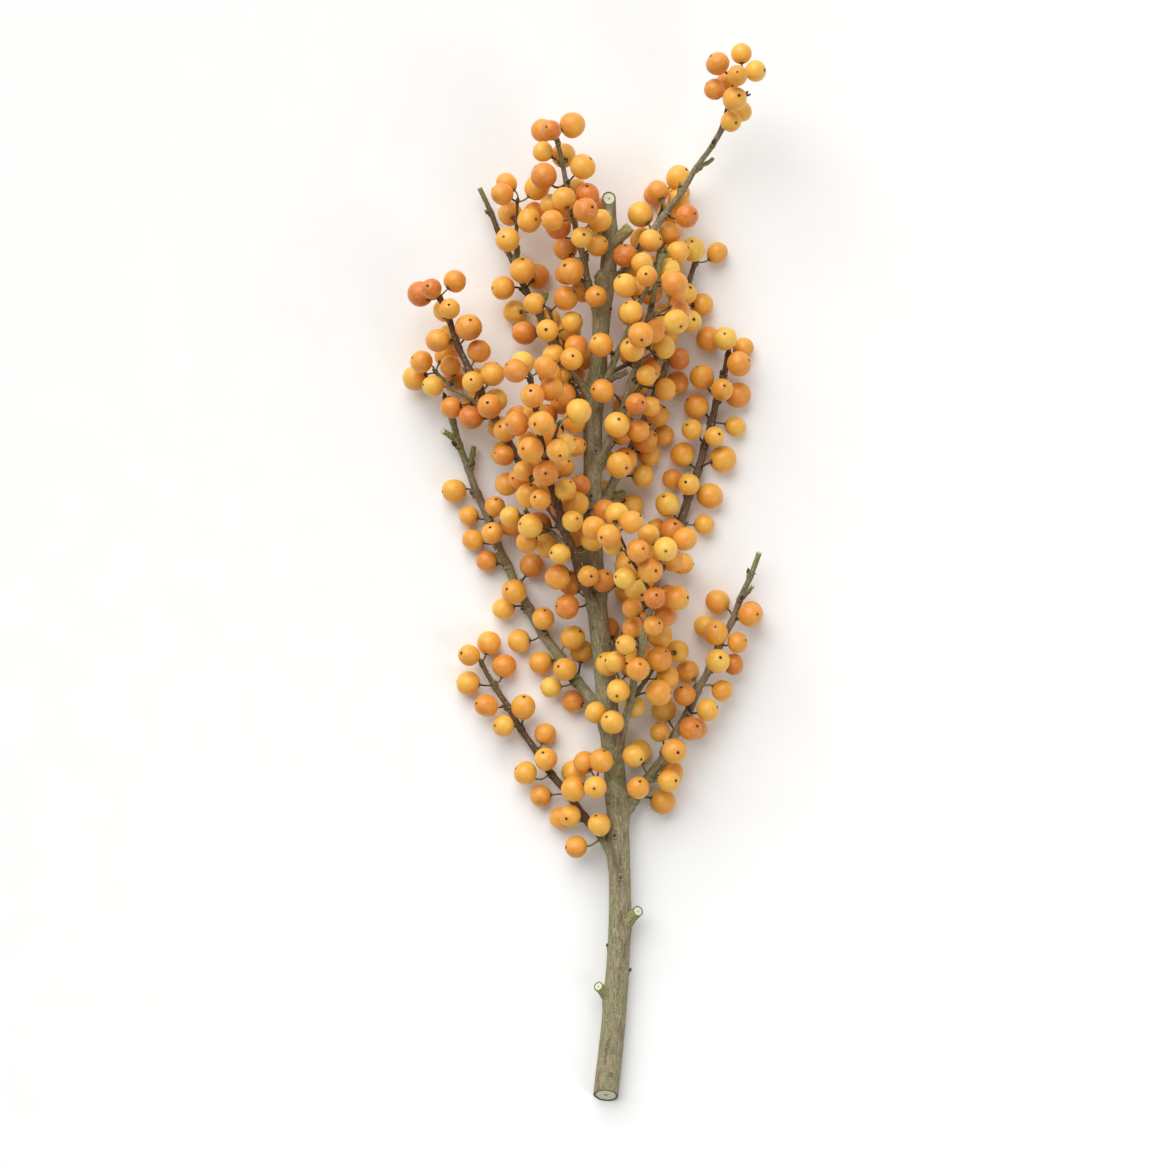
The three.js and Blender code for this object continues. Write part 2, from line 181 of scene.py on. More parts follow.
def joined(skins):
    """Several skins as one, the corners of the later ones counted on from the earlier."""
    for skin, start in zip(skins[1:], np.cumsum([len(skin["corners"]) for skin in skins])):
        skin["quads"] += start
        skin["fans"] += start
    return {key: np.concatenate([skin[key] for skin in skins]) for key in skins[0]}


def make_piece(name, skin, *materials):
    """A smooth mesh from a skin in millimetres, its values kept as attributes of the corners."""
    skin = dict(skin)
    corners, quads, fans = skin.pop("corners"), skin.pop("quads"), skin.pop("fans")
    rows = np.concatenate([skin.pop("quad_finish"), skin.pop("fan_finish")])
    starts = np.concatenate([np.arange(len(quads)) * 4, quads.size + np.arange(len(fans)) * 3])
    mesh = bpy.data.meshes.new(name)
    mesh.vertices.add(len(corners))
    mesh.vertices.foreach_set("co", (corners * MM).astype(np.float32).ravel())
    mesh.loops.add(quads.size + fans.size)
    mesh.loops.foreach_set("vertex_index", np.concatenate([quads.ravel(), fans.ravel()]).astype(np.int32))
    mesh.polygons.add(len(starts))
    mesh.polygons.foreach_set("loop_start", starts.astype(np.int32))
    mesh.polygons.foreach_set("use_smooth", np.ones(len(starts), dtype=bool))
    for material in materials:
        mesh.materials.append(material)
    mesh.polygons.foreach_set("material_index", rows.astype(np.int32))
    for key, value in skin.items():
        kind, field = ("FLOAT_VECTOR", "vector") if value.ndim == 2 else ("FLOAT", "value")
        mesh.attributes.new(key, kind, "POINT").data.foreach_set(field, value.astype(np.float32).ravel())
    mesh.update(calc_edges=True)
    piece = bpy.data.objects.new(name, mesh)
    bpy.context.scene.collection.objects.link(piece)
    return piece


def waves(s, angle, seed, rounds, lengths, count=9):
    """Uneven skin from -1 to 1: the mean of waves that go a whole number of times round and slowly along."""
    dice = np.random.default_rng(seed)
    total = 0
    for _ in range(count):
        turns = dice.integers(*rounds)
        total += np.sin(turns * angle + 2 * math.pi * s / dice.uniform(*lengths) + dice.uniform(*ANY_TURN))
    return total / math.sqrt(count)


def hump(distance, width):
    """A soft hump: exp(-(distance / width)^2)."""
    return np.exp(-((distance / width) ** 2))


def lump(s, turn, at, height, length, width):
    """A soft lump on wood: height exp(-((s - at) / length)^2) exp(-(turn / width)^2)."""
    return height * hump(s - at, length) * hump(turn, width)


def between(angle, turned):
    """The smaller angle from angles in radians to a direction in degrees."""
    return np.abs((angle - math.radians(turned) + math.pi) % (2 * math.pi) - math.pi)


def angles_of(sides):
    """Directions of evenly spaced sides, once round."""
    return np.arange(sides) * 2 * math.pi / sides


def all_round(stations, sides):
    """The place along and the angle round of every corner of a grid."""
    return np.meshgrid(stations, angles_of(sides), indexing="ij")


def length_along(points):
    """Distance along a line to each of its points."""
    return np.concatenate([[0], np.cumsum(np.linalg.norm(np.diff(points, axis=0), axis=1))])


def tone(red, green, blue):
    """A colour on a screen's 0 to 255 scale as light: ((c/255 + 0.055)/1.055)^2.4."""
    return tuple(((c / 255 + 0.055) / 1.055) ** 2.4 for c in (red, green, blue)) + (1.0,)


def new_finish(name, **constants):
    """Starts a node material. The functions after this one add to it until the next is started."""
    global tree, shader
    material = bpy.data.materials.new(name)
    material.use_nodes = True
    tree = material.node_tree
    tree.nodes.clear()
    out = node("OutputMaterial")
    shader = node("BsdfPrincipled", **constants)
    tree.links.new(shader.outputs[0], out.inputs[0])
    return material


def feed(fed, **inputs):
    """Sets or links a node's inputs, each known by its name, or by an i and its number."""
    for key, value in inputs.items():
        socket = fed.inputs[int(key[1:]) if key[1:].isdigit() else key.replace("_", " ")]
        if isinstance(value, bpy.types.NodeSocket):
            tree.links.new(value, socket)
        else:
            socket.default_value = value
    return fed


def node(kind, settings=None, **inputs):
    """Any node."""
    made = tree.nodes.new("ShaderNode" + kind)
    for key, value in (settings or {}).items():
        setattr(made, key, value)
    return feed(made, **inputs)


def kept(name, output="Fac"):
    """A value that the mesh keeps at its corners."""
    return node("Attribute", {"attribute_name": name}).outputs[output]


def on_piece():
    """A place on the piece, in metres."""
    return node("TexCoord").outputs["Object"]


def scaled(place, scale):
    """A place and its scale. Three scales, across twice and along, stretch the place itself."""
    if isinstance(scale, tuple):
        return node("Mapping", Vector=place, Scale=scale).outputs[0], 1.0
    return place, scale


def noise(place, scale, detail, roughness=0.5):
    """Uneven greys round 0.5, finer with the scale."""
    place, scale = scaled(place, scale)
    return node("TexNoise", Vector=place, Scale=scale, Detail=detail, Roughness=roughness).outputs["Fac"]


def dots(place, scale):
    """Distance to the nearest of many scattered points, near 0 in a small dot round each."""
    place, scale = scaled(place, scale)
    return node("TexVoronoi", Vector=place, Scale=scale).outputs["Distance"]


def calc(way, *values, **settings):
    """A sum of numbers."""
    inputs = {f"i{n}": value for n, value in enumerate(values)}
    return node("Math", {"operation": way, **settings}, **inputs).outputs[0]


def ramp(value, *stops):
    """Colours of tone, or greys from 0 to 1, that follow a value from stop to stop."""
    made = node("ValToRGB", Fac=value)
    marks = made.color_ramp.elements
    while len(marks) < len(stops):
        marks.new(0.5)
    for mark, (at, *colour) in zip(marks, stops):
        mark.position = at
        mark.color = tone(*colour) if len(colour) == 3 else (*colour * 3, 1)
    return made.outputs[0]


def layered(colour, *layers, way="MIX"):
    """Further colours laid over one, each by its share."""
    kind = {"data_type": "RGBA", "blend_type": way}
    for share, layer in layers:
        colour = node("Mix", kind, i0=share, i6=colour, i7=layer).outputs[2]
    return colour


def relief(height, strength, depth):
    """Bumps of a depth in metres."""
    return node("Bump", Height=height, Strength=strength, Distance=depth).outputs[0]


# The bark: grey-olive over green, with fine streaks along the wood, pale pores and dark marks at old buds.
# Young wood is thinner-skinned and red-brown, fresh side twigs are green, and old cuts are overgrown with
# lichen.
bark = new_finish("winterberry_bark", Base_Color=tone(118, 110, 90), Specular_IOR_Level=0.35)
straight = kept("straight", "Vector")
streaks = noise(straight, (1.5, 1.5, 0.20), 6.0, 0.62)
mottle = noise(straight, (1.1, 1.1, 0.75), 6.0, 0.72)
streaks = node("Mix", i0=0.5, i2=streaks, i3=mottle).outputs[0]
patches = noise(straight, (0.20, 0.20, 0.045), 3.0)
grain = noise(straight, (5.0, 5.0, 2.2), 3.0)
pores = ramp(dots(straight, (0.50, 0.50, 0.42)), (0.10, 1.0), (0.17, 0.0))
fine_pores = ramp(dots(straight, (1.15, 1.15, 0.95)), (0.09, 0.75), (0.17, 0.0))
old_wood = ramp(streaks, (0.33, 94, 84, 59), (0.45, 138, 127, 96), (0.56, 167, 156, 124),
                (0.68, 202, 193, 165))
moss = ramp(streaks, (0.33, 84, 88, 52), (0.50, 132, 136, 90), (0.68, 170, 174, 126))
young_wood = ramp(streaks, (0.32, 54, 34, 27), (0.46, 90, 63, 46), (0.58, 118, 94, 66), (0.72, 150, 136, 102))
fresh_green = ramp(streaks, (0.33, 86, 98, 42), (0.50, 134, 148, 76), (0.68, 176, 188, 124))
grown_over = ramp(streaks, (0.34, 98, 84, 42), (0.50, 162, 144, 80), (0.66, 208, 192, 126))
young_share = node("MapRange", Value=kept("young"), i1=0.15, i2=0.75).outputs[0]
wood_tone = layered(
    old_wood,
    (ramp(patches, (0.46, 0.0), (0.62, 0.7)), moss),
    (young_share, young_wood),
    (ramp(patches, (0.30, 0.6), (0.46, 0.0)), tone(90, 70, 49)),
    (kept("green"), fresh_green),
    (kept("lichen"), grown_over),
    (pores, tone(196, 190, 168)),
    (fine_pores, tone(182, 174, 148)),
    (ramp(kept("mark"), (0.25, 0.0), (0.85, 0.85)), tone(46, 34, 27)),
)
height = calc("MULTIPLY_ADD", pores, 0.55, calc("MULTIPLY_ADD", streaks, 1.0, grain))
feed(shader, Base_Color=wood_tone, Roughness=ramp(streaks, (0.3, 0.62), (0.7, 0.84)),
     Normal=relief(height, 0.55, 0.00035))

# The cut ends: pale wood with fine rings and rays round a small green pith, inside a green ring of new wood
# and the dark edge of the bark.
cut_wood = new_finish("cut_wood", Roughness=0.62)
edge = kept("edge")
fibres = noise(kept("straight", "Vector"), (3.2, 3.2, 0.6), 4.0)
face = ramp(
    calc("MULTIPLY_ADD", fibres, 0.07, edge),
    (0.10, 128, 126, 80), (0.17, 176, 180, 132), (0.24, 222, 223, 198), (0.66, 230, 231, 212),
    (0.80, 206, 214, 176), (0.86, 140, 158, 96), (0.90, 84, 88, 52), (0.94, 66, 55, 39), (0.99, 104, 93, 70),
)
speckle = ramp(fibres, (0.35, 206, 202, 170), (0.65, 255, 255, 250))
rings = calc("SINE", calc("MULTIPLY", edge, 34.0))
height = calc("MULTIPLY_ADD", rings, 0.08, fibres)
feed(shader, Base_Color=layered(face, (0.55, speckle), way="MULTIPLY"), Normal=relief(height, 0.5, 0.0003))

# How rings close an end of wood: their shares of its radius, how far each is sunk in and how far it is torn
CUT_END = {"steps": [0.97, 0.92, 0.87, 0.82, 0.78, 0.66, 0.50, 0.34, 0.20, 0.10], "tear": 0.14, "finish": 1,
           "sunk": [-0.05, -0.06, 0.02, 0.14, 0.17, 0.13, 0.08, 0.09, 0.13, 0.20]}
GROWN_END = {"steps": [0.97, 0.86, 0.68, 0.42], "tear": 0.0, "finish": 0,
             "sunk": [-0.7, -1.6, -2.4, -3.0]}


def bar_of_wood(points, out, seed, slants=(0, 0), ends=(CUT_END, CUT_END), mark=0.0, young=0.0, green=0.0,
                lichen=0.0):
    """A bar of wood as a skin. Ring i is point + (right cos(angle) + above sin(angle)) out. Near an end a
    ring leans along the wood by out sin(angle) slant, so that a cut end is plane. Rings of falling radius
    then close the end, each sunk into it or, where it has grown shut, standing out of it."""
    along = unit(np.gradient(points, axis=0))
    right, above = across(along)
    reach = length_along(points)
    angles = angles_of(out.shape[1])
    spokes = right[:, None] * np.cos(angles)[None, :, None] + above[:, None] * np.sin(angles)[None, :, None]
    leaning = slants[0] * np.clip(1 - reach / SLANT_REACH, 0, 1) ** 2
    leaning += slants[1] * np.clip(1 - (reach[-1] - reach) / SLANT_REACH, 0, 1) ** 2
    slide = leaning[:, None] * out * np.sin(angles)
    side = points[:, None] + spokes * out[..., None] + along[:, None] * slide[..., None]
    place = np.stack([out * np.cos(angles), out * np.sin(angles), reach[:, None] + 0 * out], axis=-1)
    dice = np.random.default_rng(seed)
    tints = {"mark": mark, "young": young, "green": green, "lichen": lichen}
    rings, places, edges, piths, rows = [], [], [], [], []
    for here, outward, end in ((0, -along[0], ends[0]), (-1, along[-1], ends[1])):
        size = float(out[here].mean()) / CUT_RADIUS
        share = np.asarray(end["steps"])[:, None, None]
        sunk = np.asarray(end["sunk"])[:, None, None] * size
        tear = dice.uniform(-1, 1, (len(share), len(angles), 1)) * end["tear"]
        tear = tear * size * np.minimum(1, 3 * share)
        rings.append(points[here] + (side[here] - points[here]) * share + outward * (tear - sunk))
        places.append(share * place[here])
        edges.append(share[:, :, 0] * np.ones(len(angles)))
        piths.append(points[here] - outward * end["sunk"][-1] * size * 1.1)
        rows.append(np.full(len(share), end["finish"]))
    grid = np.concatenate([rings[0][::-1], side, rings[1]])
    first, last = len(rings[0]), len(rings[1])
    return closed_skin(
        grid[None], piths[0][None], piths[1][None],
        np.concatenate([rows[0], np.zeros(len(points) - 1, dtype=int), rows[1]]),
        straight=(np.concatenate([places[0][::-1], place, places[1]])[None]
                  + dice.uniform(-ANY_PLACE, ANY_PLACE, 3)),
        edge=np.concatenate([edges[0][::-1], np.ones(out.shape), edges[1]])[None],
        **{key: np.pad(np.broadcast_to(tint, out.shape), ((first, last), (0, 0)), mode="edge")[None]
           for key, tint in tints.items()},
    )


stem_s = np.linspace(0, STEM_LENGTH, int(STEM_LENGTH / STATION) + 1)
s_grid, angle_grid = all_round(stem_s, STEM_SIDES)
stem_out = np.repeat(stem_radius(stem_s)[:, None], STEM_SIDES, axis=1)
stem_out *= (1 + OUT_OF_ROUND * waves(s_grid, angle_grid, 3, rounds=(2, 4), lengths=(90, 240), count=5))
stem_out *= (1 - LEADER_THINNER * np.clip((s_grid - FORK_AT) / 12, 0, 1))
stem_out += RIPPLE * waves(s_grid, angle_grid, 4, rounds=(5, 12), lengths=(18, 70), count=9)
stem_out += FINE_RIPPLE * waves(s_grid, angle_grid, 5, rounds=(11, 20), lengths=(5, 24), count=12)
stem_mark = np.zeros_like(stem_out)
for _, at, turned, lean, _, radius, _, _ in SPRAYS:  # the collars, and a dark crease under each
    beyond = at + stem_radius(at) / math.tan(math.radians(lean))
    turn = between(angle_grid, turned)
    high, long = COLLAR
    stem_out += lump(s_grid, turn, beyond, high * radius, length=long * radius + 2, width=0.75)
    stem_out += lump(s_grid, turn, at - 1.5, 0.22, length=2.4, width=1.2)
    stem_mark = np.maximum(stem_mark, lump(s_grid, turn, at - 2.5, 0.55, length=1.2, width=0.5))
for at, turned, _, _, radius in [*SHORT_STUBS, FORK]:
    turn = between(angle_grid, turned)
    high, long = STUB_COLLAR
    stem_out += lump(s_grid, turn, at + 3, high * radius, length=long * radius + 2, width=0.8)

# The knob: a boss of height and radius as given, with a rim, a pit, a ring round the pit, a crease under it
# and a swelling of the stem below. far is the distance from its middle over its radius, made uneven.
at, turned, height, radius = KNOB
up = s_grid - at - 0.8
turn = between(angle_grid, turned) * stem_radius(at)
rough = waves(s_grid, angle_grid, 6, rounds=(4, 11), lengths=(1.8, 4.5), count=14)
far = np.sqrt((up / (1.2 * radius)) ** 2 + (turn / (0.8 * radius)) ** 2) * (1 + 0.10 * rough)
boss = np.exp(-far**6) * (height - 0.5 + 0.5 * rough)
rim = 0.45 * hump(far - 0.95, 0.20)
pit = 0.9 * hump(far, 0.28) + 0.4 * hump(far - 0.6, 0.12)
crease = hump(up + 1.42 * radius - 0.08 * turn**2, 0.55) * hump(turn, 0.85 * radius)
swelling = lump(up, turn, -3.2 * radius, 0.9, length=2.0 * radius, width=1.1 * radius)
stem_out += boss + rim - pit - 0.6 * crease + swelling
stem_mark = np.maximum(stem_mark, hump(far, 0.24) + 0.5 * hump(far - 0.6, 0.09) + 0.9 * crease)
stem_lichen = 0.95 * np.exp(-(far / 1.15) ** 4) * (0.85 + 0.25 * rough)

# Old buds that stayed shut: distance from the butt and direction round the stem
EYES = [(12, 80), (27, 224), (63, 15), (75, 158), (99, 302), (110, 86), (131, 110), (174, 120), (226, 40),
        (300, 95), (322, 70), (371, 84), (392, 40), (436, 130)]
for at, turned in EYES:
    turn = between(angle_grid, turned)
    stem_out += lump(s_grid, turn, at, 0.5, length=1.7, width=0.30)
    stem_out += lump(s_grid, turn, at - 1.2, 0.18, length=1.6, width=0.9)
    under = lump(s_grid - 2.2 * turn**2, turn, at - 1.5, 0.75, length=0.5, width=0.30)
    stem_mark = np.maximum(stem_mark, under)
slants = (math.tan(math.radians(BUTT_CUT)), -math.tan(math.radians(TOP_CUT)))
stem_skin = bar_of_wood(stem_point(stem_s), stem_out, 21, slants, mark=np.clip(stem_mark, 0, 1),
                        lichen=np.clip(stem_lichen, 0, 1))
stem_skin["corners"][:, 2] = np.maximum(stem_skin["corners"][:, 2], 0)
stem_skins = [stem_skin]
for n, (at, turned, lean, length, radius) in enumerate([*SHORT_STUBS, FORK]):
    inside = float(stem_radius(at))
    stations = np.linspace(0, inside + length, max(10, int((inside + length) / STUB_STATION)))
    points = stem_point(at) + leaving(stem_along(at), turned, lean) * stations[:, None]
    s_stub, angle_stub = all_round(stations, STUB_SIDES)
    swell = 1 + 0.16 * (1 - s_stub / stations[-1]) + 0.30 * hump(s_stub - inside, 2.6)
    out = radius * swell + 0.10 * waves(s_stub, angle_stub, 30 + n, rounds=(3, 8), lengths=(5, 20), count=9)
    green = 0.75 * np.clip((s_stub - inside) / length, 0, 1) ** 1.5
    lichen, slant = 0, STUB_CUT
    if at == FORK_AT:  # an older cut: the bark has rolled up round it and is overgrown
        lumps = waves(s_stub, angle_stub, 36, rounds=(2, 6), lengths=(4, 11), count=9)
        out += (0.26 * lumps + 0.15) * hump(s_stub - stations[-1] + 1.5, 3.5)
        lichen = np.clip(0.55 + 0.35 * lumps, 0, 0.9) * np.clip((s_stub - inside + 2) / 6, 0, 1)
        green, slant = 0.35 * green, FORK_CUT
    stem_skins.append(bar_of_wood(points, out, 40 + n, (0, slant), (GROWN_END, CUT_END), young=0.1,
                                  green=green, lichen=lichen))
main_stem = make_piece("main_stem_wood", joined(stem_skins), bark, cut_wood)
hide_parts("main_stem")
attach(main_stem, "root")


# THE SHOOTS AND SPURS
# Thinner shoots of the last summers and short spurs, each one piece of wood with its side twigs. They leave
# the stem in turn round it and curve up along it, with a slight bend and a swelling at every bud. Most bear
# to the tip, five end in bare buds, and two of those were clipped.
INTERNODE = 13
TURN = 144
TIP_SHARE = 0.52
CURL = 0.055
ZIGZAG = 0.09
WANDER = 0.05
UNEVEN = (0.86, 1.14)
LOWEST = 5.3  # no bud of a shoot lies closer to the table, and none of a side twig closer than twice this
SIDE_LENGTH = (24, 42)
SIDE_LEAN = 42
SIDE_EVERY = 4
SIDE_SHARE = 0.72
SIDE_TIP = 2
SIDE_ROOM = 7
SIDE_TRIES = 6
SHOOT_SIDES = 16
SPAN_STEPS = 16  # rings from one bud to the next
CLIPPED = ("shoot_02", "shoot_10")
# Room that shoots and berries leave for the short stubs, the knob and the fork
STUB_ROOM = [*SHORT_STUBS, (406, 118, 76, 1.6, 3.2), (FORK_AT, 24, 44, 18, 3.1)]
FLARE = (0.48, 3.6)  # where a shoot leaves its parent: height against its radius, and reach
SWELLING = (0.20, 1.6)  # the same at each bud
CUSHION = (0.55, 0.75)  # height of a bud's cushion against the shoot's radius, and of a bare bud's
SHOOT_CUT = -0.35
drawn = 51713


def draw(low, high):
    """The next of a repeatable series, n -> (1664525 n + 1013904223) mod 2^32, taken from low to high."""
    global drawn
    drawn = (drawn * 1664525 + 1013904223) % 4294967296
    return low + (high - low) * drawn / 4294967296


def bud_points(root, direction, length):
    """Where a shoot's buds sit: steps that turn up along the branch by CURL, to and fro by ZIGZAG, and stray
    by WANDER, each from UNEVEN of the mean in length."""
    points = [root]
    count = max(1, math.floor(length / INTERNODE + 0.5))
    step = length / count
    along = direction.copy()
    for i in range(1, count + 1):
        right, _ = across(along)
        along = along + np.array([0, CURL, 0])
        along = along + right * (ZIGZAG * (1 if i % 2 else -1) + draw(-WANDER, WANDER))
        along[2] += draw(-WANDER, WANDER)
        point = points[-1] + unit(along) * step * draw(*UNEVEN)
        point[2] = max(point[2], LOWEST)
        along = unit(point - points[-1])
        points.append(point)
    return np.array(points)


def stick(root, direction, length, radius, bare, tip):
    """One unbranched shoot: its bud points, the radius at each, falling to TIP_SHARE, and what it bears."""
    points = bud_points(root, direction, length)
    radii = radius * (1 - (1 - TIP_SHARE) * np.arange(len(points)) / (len(points) - 1))
    return {"points": points, "radii": radii, "bare": bare, "tip": tip, "turn": draw(0, 360)}


def to_segment(p, a, b):
    """Shortest distance from points to straight lines from a to b, the nearest share held from 0 to 1."""
    line = b - a
    share = np.clip(((p - a) * line).sum(-1) / (line * line).sum(-1), 0, 1)
    return np.linalg.norm(p - a - line * share[..., None], axis=-1)


wood_from, wood_to, wood_radius, wood_owner = [], [], [], []


def claim(points, radii, owner):
    """Keeps each length of wood, as thick as its thicker end, so that nothing else meets it."""
    wood_from.extend(points[:-1])
    wood_to.extend(points[1:])
    wood_radius.extend(np.maximum(radii[:-1], radii[1:]))
    wood_owner.extend([owner] * (len(points) - 1))


def wood_gap(points, radius, owner):
    """Least gap from points as thick as radius to the wood of every other owner."""
    other = np.array([name != owner for name in wood_owner])
    far = to_segment(points[:, None], np.array(wood_from)[other], np.array(wood_to)[other])
    return (far - np.array(wood_radius)[other]).min() - radius


stations = np.append(np.arange(0, STEM_LENGTH, STEM_STEP), STEM_LENGTH)
claim(stem_point(stations), stem_radius(stations), "stem")
for at, turned, lean, length, radius in STUB_ROOM:
    tip = stem_point(at) + leaving(stem_along(at), turned, lean) * (float(stem_radius(at)) + length)
    claim(np.array([stem_point(at), tip]), np.array([radius, radius]), "stem")
sprays = []
for name, at, turned, lean, length, radius, bare, tip in SPRAYS:
    inside = float(stem_radius(at))
    leader = stick(stem_point(at), leaving(stem_along(at), turned, lean), length + inside, radius, bare, tip)
    leader["exit"] = inside / math.sin(math.radians(lean))
    claim(leader["points"], leader["radii"], name)
    sprays.append((name, [leader]))
for name, sticks in sprays:
    leader = sticks[0]
    points = leader["points"]
    for i in range(3, len(points) - 2, SIDE_EVERY):
        along = unit(points[i + 1] - points[i - 1])
        for attempt in range(SIDE_TRIES):
            side = leader["turn"] + i * TURN + attempt * 360 / SIDE_TRIES
            length = draw(*SIDE_LENGTH)
            radius = leader["radii"][i] * SIDE_SHARE
            twig = stick(points[i], leaving(along, side, SIDE_LEAN), length, radius, 0, SIDE_TIP)
            room = wood_gap(twig["points"][1:], radius, name)
            if twig["points"][:, 2].min() > 2 * LOWEST and room > SIDE_ROOM:
                twig["exit"] = leader["radii"][i] / math.sin(math.radians(SIDE_LEAN))
                sticks.append(twig)
                claim(twig["points"], twig["radii"], name)
                break


def smooth_way(points):
    """A smooth line through points p0 p1 p2 p3, between p1 and p2:
    p1 + ((p2 - p0) t + (2 p0 - 5 p1 + 4 p2 - p3) t^2 + (3 p1 - p0 - 3 p2 + p3) t^3) / 2."""
    far = np.concatenate([[2 * points[0] - points[1]], points, [2 * points[-1] - points[-2]]])[:, None]
    t = (np.arange(SPAN_STEPS) / SPAN_STEPS)[None, :, None]
    p0, p1, p2, p3 = far[:-3], far[1:-2], far[2:-1], far[3:]
    way = (p2 - p0) * t + (2 * p0 - 5 * p1 + 4 * p2 - p3) * t**2 + (3 * p1 - p0 - 3 * p2 + p3) * t**3
    return np.concatenate([(p1 + way / 2).reshape(-1, 3), points[-1:]])


def shoot_wood(wood, k, seed, clipped):
    """The wood of one shoot: radius between buds even from bud to bud, times a flare where it leaves its
    parent, with a swelling, a cushion and the scar of a leaf under each bud."""
    dice = np.random.default_rng(seed)
    way = smooth_way(wood["points"])
    reach = length_along(way)
    place, angle = all_round(reach, SHOOT_SIDES)
    buds = reach[::SPAN_STEPS]
    thick = np.interp(reach, buds, wood["radii"])[:, None]
    outside = np.maximum(place - wood["exit"], 0)
    root = hump(outside, FLARE[1])
    out = thick * (1 + FLARE[0] * root)
    out += 0.035 * thick * waves(place, angle, seed + 1, rounds=(3, 6), lengths=(9, 40), count=7)
    mark = np.zeros_like(out)
    for i in range(1, len(buds) - clipped):
        turn = between(angle, wood["turn"] + (i + k) * TURN)
        cushion = CUSHION[i > len(buds) - 1 - wood["bare"]]
        out += thick * SWELLING[0] * hump(place - buds[i] + 0.6, SWELLING[1])
        out += lump(place, turn, buds[i] - 0.9, thick * cushion, length=1.2, width=0.55)
        out -= lump(place, turn, buds[i] - 2.3, thick * 0.16, length=0.6, width=0.5)
        mark = np.maximum(mark, lump(place, turn, buds[i] - 1.9, 0.9, length=0.7, width=0.6))
        mark = np.maximum(mark, 0.45 * hump(place - buds[i] - 0.4, 1.2))
    fine = waves(place, angle, seed + 9, rounds=(4, 7), lengths=(2.5, 7), count=7)
    out += 0.05 * thick * fine * (0.4 + root)
    young = 0.18 + 0.42 * (2.3 - thick) + dice.uniform(-0.35, 0.45)  # thin wood is young, but not its root
    young = young * (1 - 0.85 * hump(outside, 7))
    green = 0.55 * dice.uniform(0, 1) ** 3 * hump(np.maximum(buds[-1] - place, 0), 22)
    if clipped:
        green = 0.6 * hump(buds[-1] - place, 9)
    slant, end = (SHOOT_CUT, CUT_END) if clipped else (0, GROWN_END)
    return bar_of_wood(way, out, seed + 2, (0, slant), (GROWN_END, end), mark, np.clip(young, 0, 1), green)


for n, (name, sticks) in enumerate(sprays):
    clipped = name in CLIPPED
    skins = [shoot_wood(wood, k, 1000 + 40 * n + 3 * k, clipped and k == 0) for k, wood in enumerate(sticks)]
    wood_piece = make_piece(name + "_wood", joined(skins), bark, cut_wood)
    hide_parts(name)
    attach(wood_piece, "root")


# THE BERRIES
# Round golden fruit in a thin taut skin, each with a dimple at its stalk and, opposite, the small black-brown
# scar of the flower. They sit in ones and twos at the buds and in threes and fours at the tips of spurs.
BUNCHES = (1, 2, 0, 1, 2, 1, 0, 2, 1, 1)
BUNCH_SPREAD = 78
BERRY_LEAN = (50, 70)
BERRY_RADIUS = (5.3, 6.8)
STALK_LENGTH = (2.6, 5.2)
REACH_DOWN = 2.6
CLEAR = 0.6
STALK_CLEAR = 1.4  # least gap between other wood and a stalk's middle line, at these shares of it
STALK_SHARES = (0.35, 0.75)
ROUNDING = 1e-6  # what a berry that is set on the table may seem to lie below it
TRIES = 40
TURN_AWAY = 110
LEAN_IN = 30
LEAN_OUT = 24
STALK_GROWTH = 0.6
MORE_AT_A_BUD = 2  # tries at each bud for berries that the solids leave out
BERRY_SIDES = 20
BERRY_RINGS = np.radians([9, 20, 35, 52, 70, 88, 106, 124, 141, 156, 168, 174])
STALK_DIMPLE = (0.085, 0.33)  # depth in shares of the radius, and width as an angle
SCAR_DIMPLE = (0.035, 0.26)
PRESSED_WIDTH = 0.62
RUBBED_WIDTH = 0.55
RUBBED_SHARE = 0.16  # of the berries
SCAR_SIDES = 10
SCAR_SIZE = (0.50, 0.78)
MIDDLE = np.zeros((1, 1, 1))
hung = {"owner": [], "foot": [], "centre": [], "radius": [], "along": []}


def is_clear(owner, foot, centre, radius):
    """True when a berry and its stalk meet no other berry, no wood but its own, and not the table."""
    if hung["radius"]:
        centres, feet, radii = np.array(hung["centre"]), np.array(hung["foot"]), np.array(hung["radius"])
        if (np.linalg.norm(centres - centre, axis=1) < radii + radius + CLEAR).any():
            return False
        if (to_segment(centres, foot, centre) < radii + CLEAR).any():
            return False
        if (to_segment(centre, feet, centres) < radius + CLEAR).any():
            return False
    if (to_segment(centre, all_from, all_to) < radius + all_radius + CLEAR).any():
        return False
    other = all_owner != owner
    for share in STALK_SHARES:
        near = to_segment(foot + (centre - foot) * share, all_from[other], all_to[other])
        if (near < all_radius[other] + STALK_CLEAR).any():
            return False
    return centre[2] >= radius - FLAT - ROUNDING


def hang_berry(owner, foot, along, turned, lean, thickness):
    """One berry on its stalk from a bud, tried further round and further out until it has room."""
    radius = draw(*BERRY_RADIUS)
    stalk = draw(*STALK_LENGTH)
    for attempt in range(TRIES):
        give = attempt / TRIES
        round_here = turned + give * draw(-TURN_AWAY, TURN_AWAY)
        direction = leaving(along, round_here, lean + give * draw(-LEAN_IN, LEAN_OUT))
        centre = foot + direction * (thickness + stalk * (1 + STALK_GROWTH * give) + radius)
        if centre[2] - radius < REACH_DOWN:
            centre[2] = radius - FLAT
        if is_clear(owner, foot, centre, radius):
            for key, value in zip(hung, (owner, foot, centre, radius, along)):
                hung[key].append(value)
            return


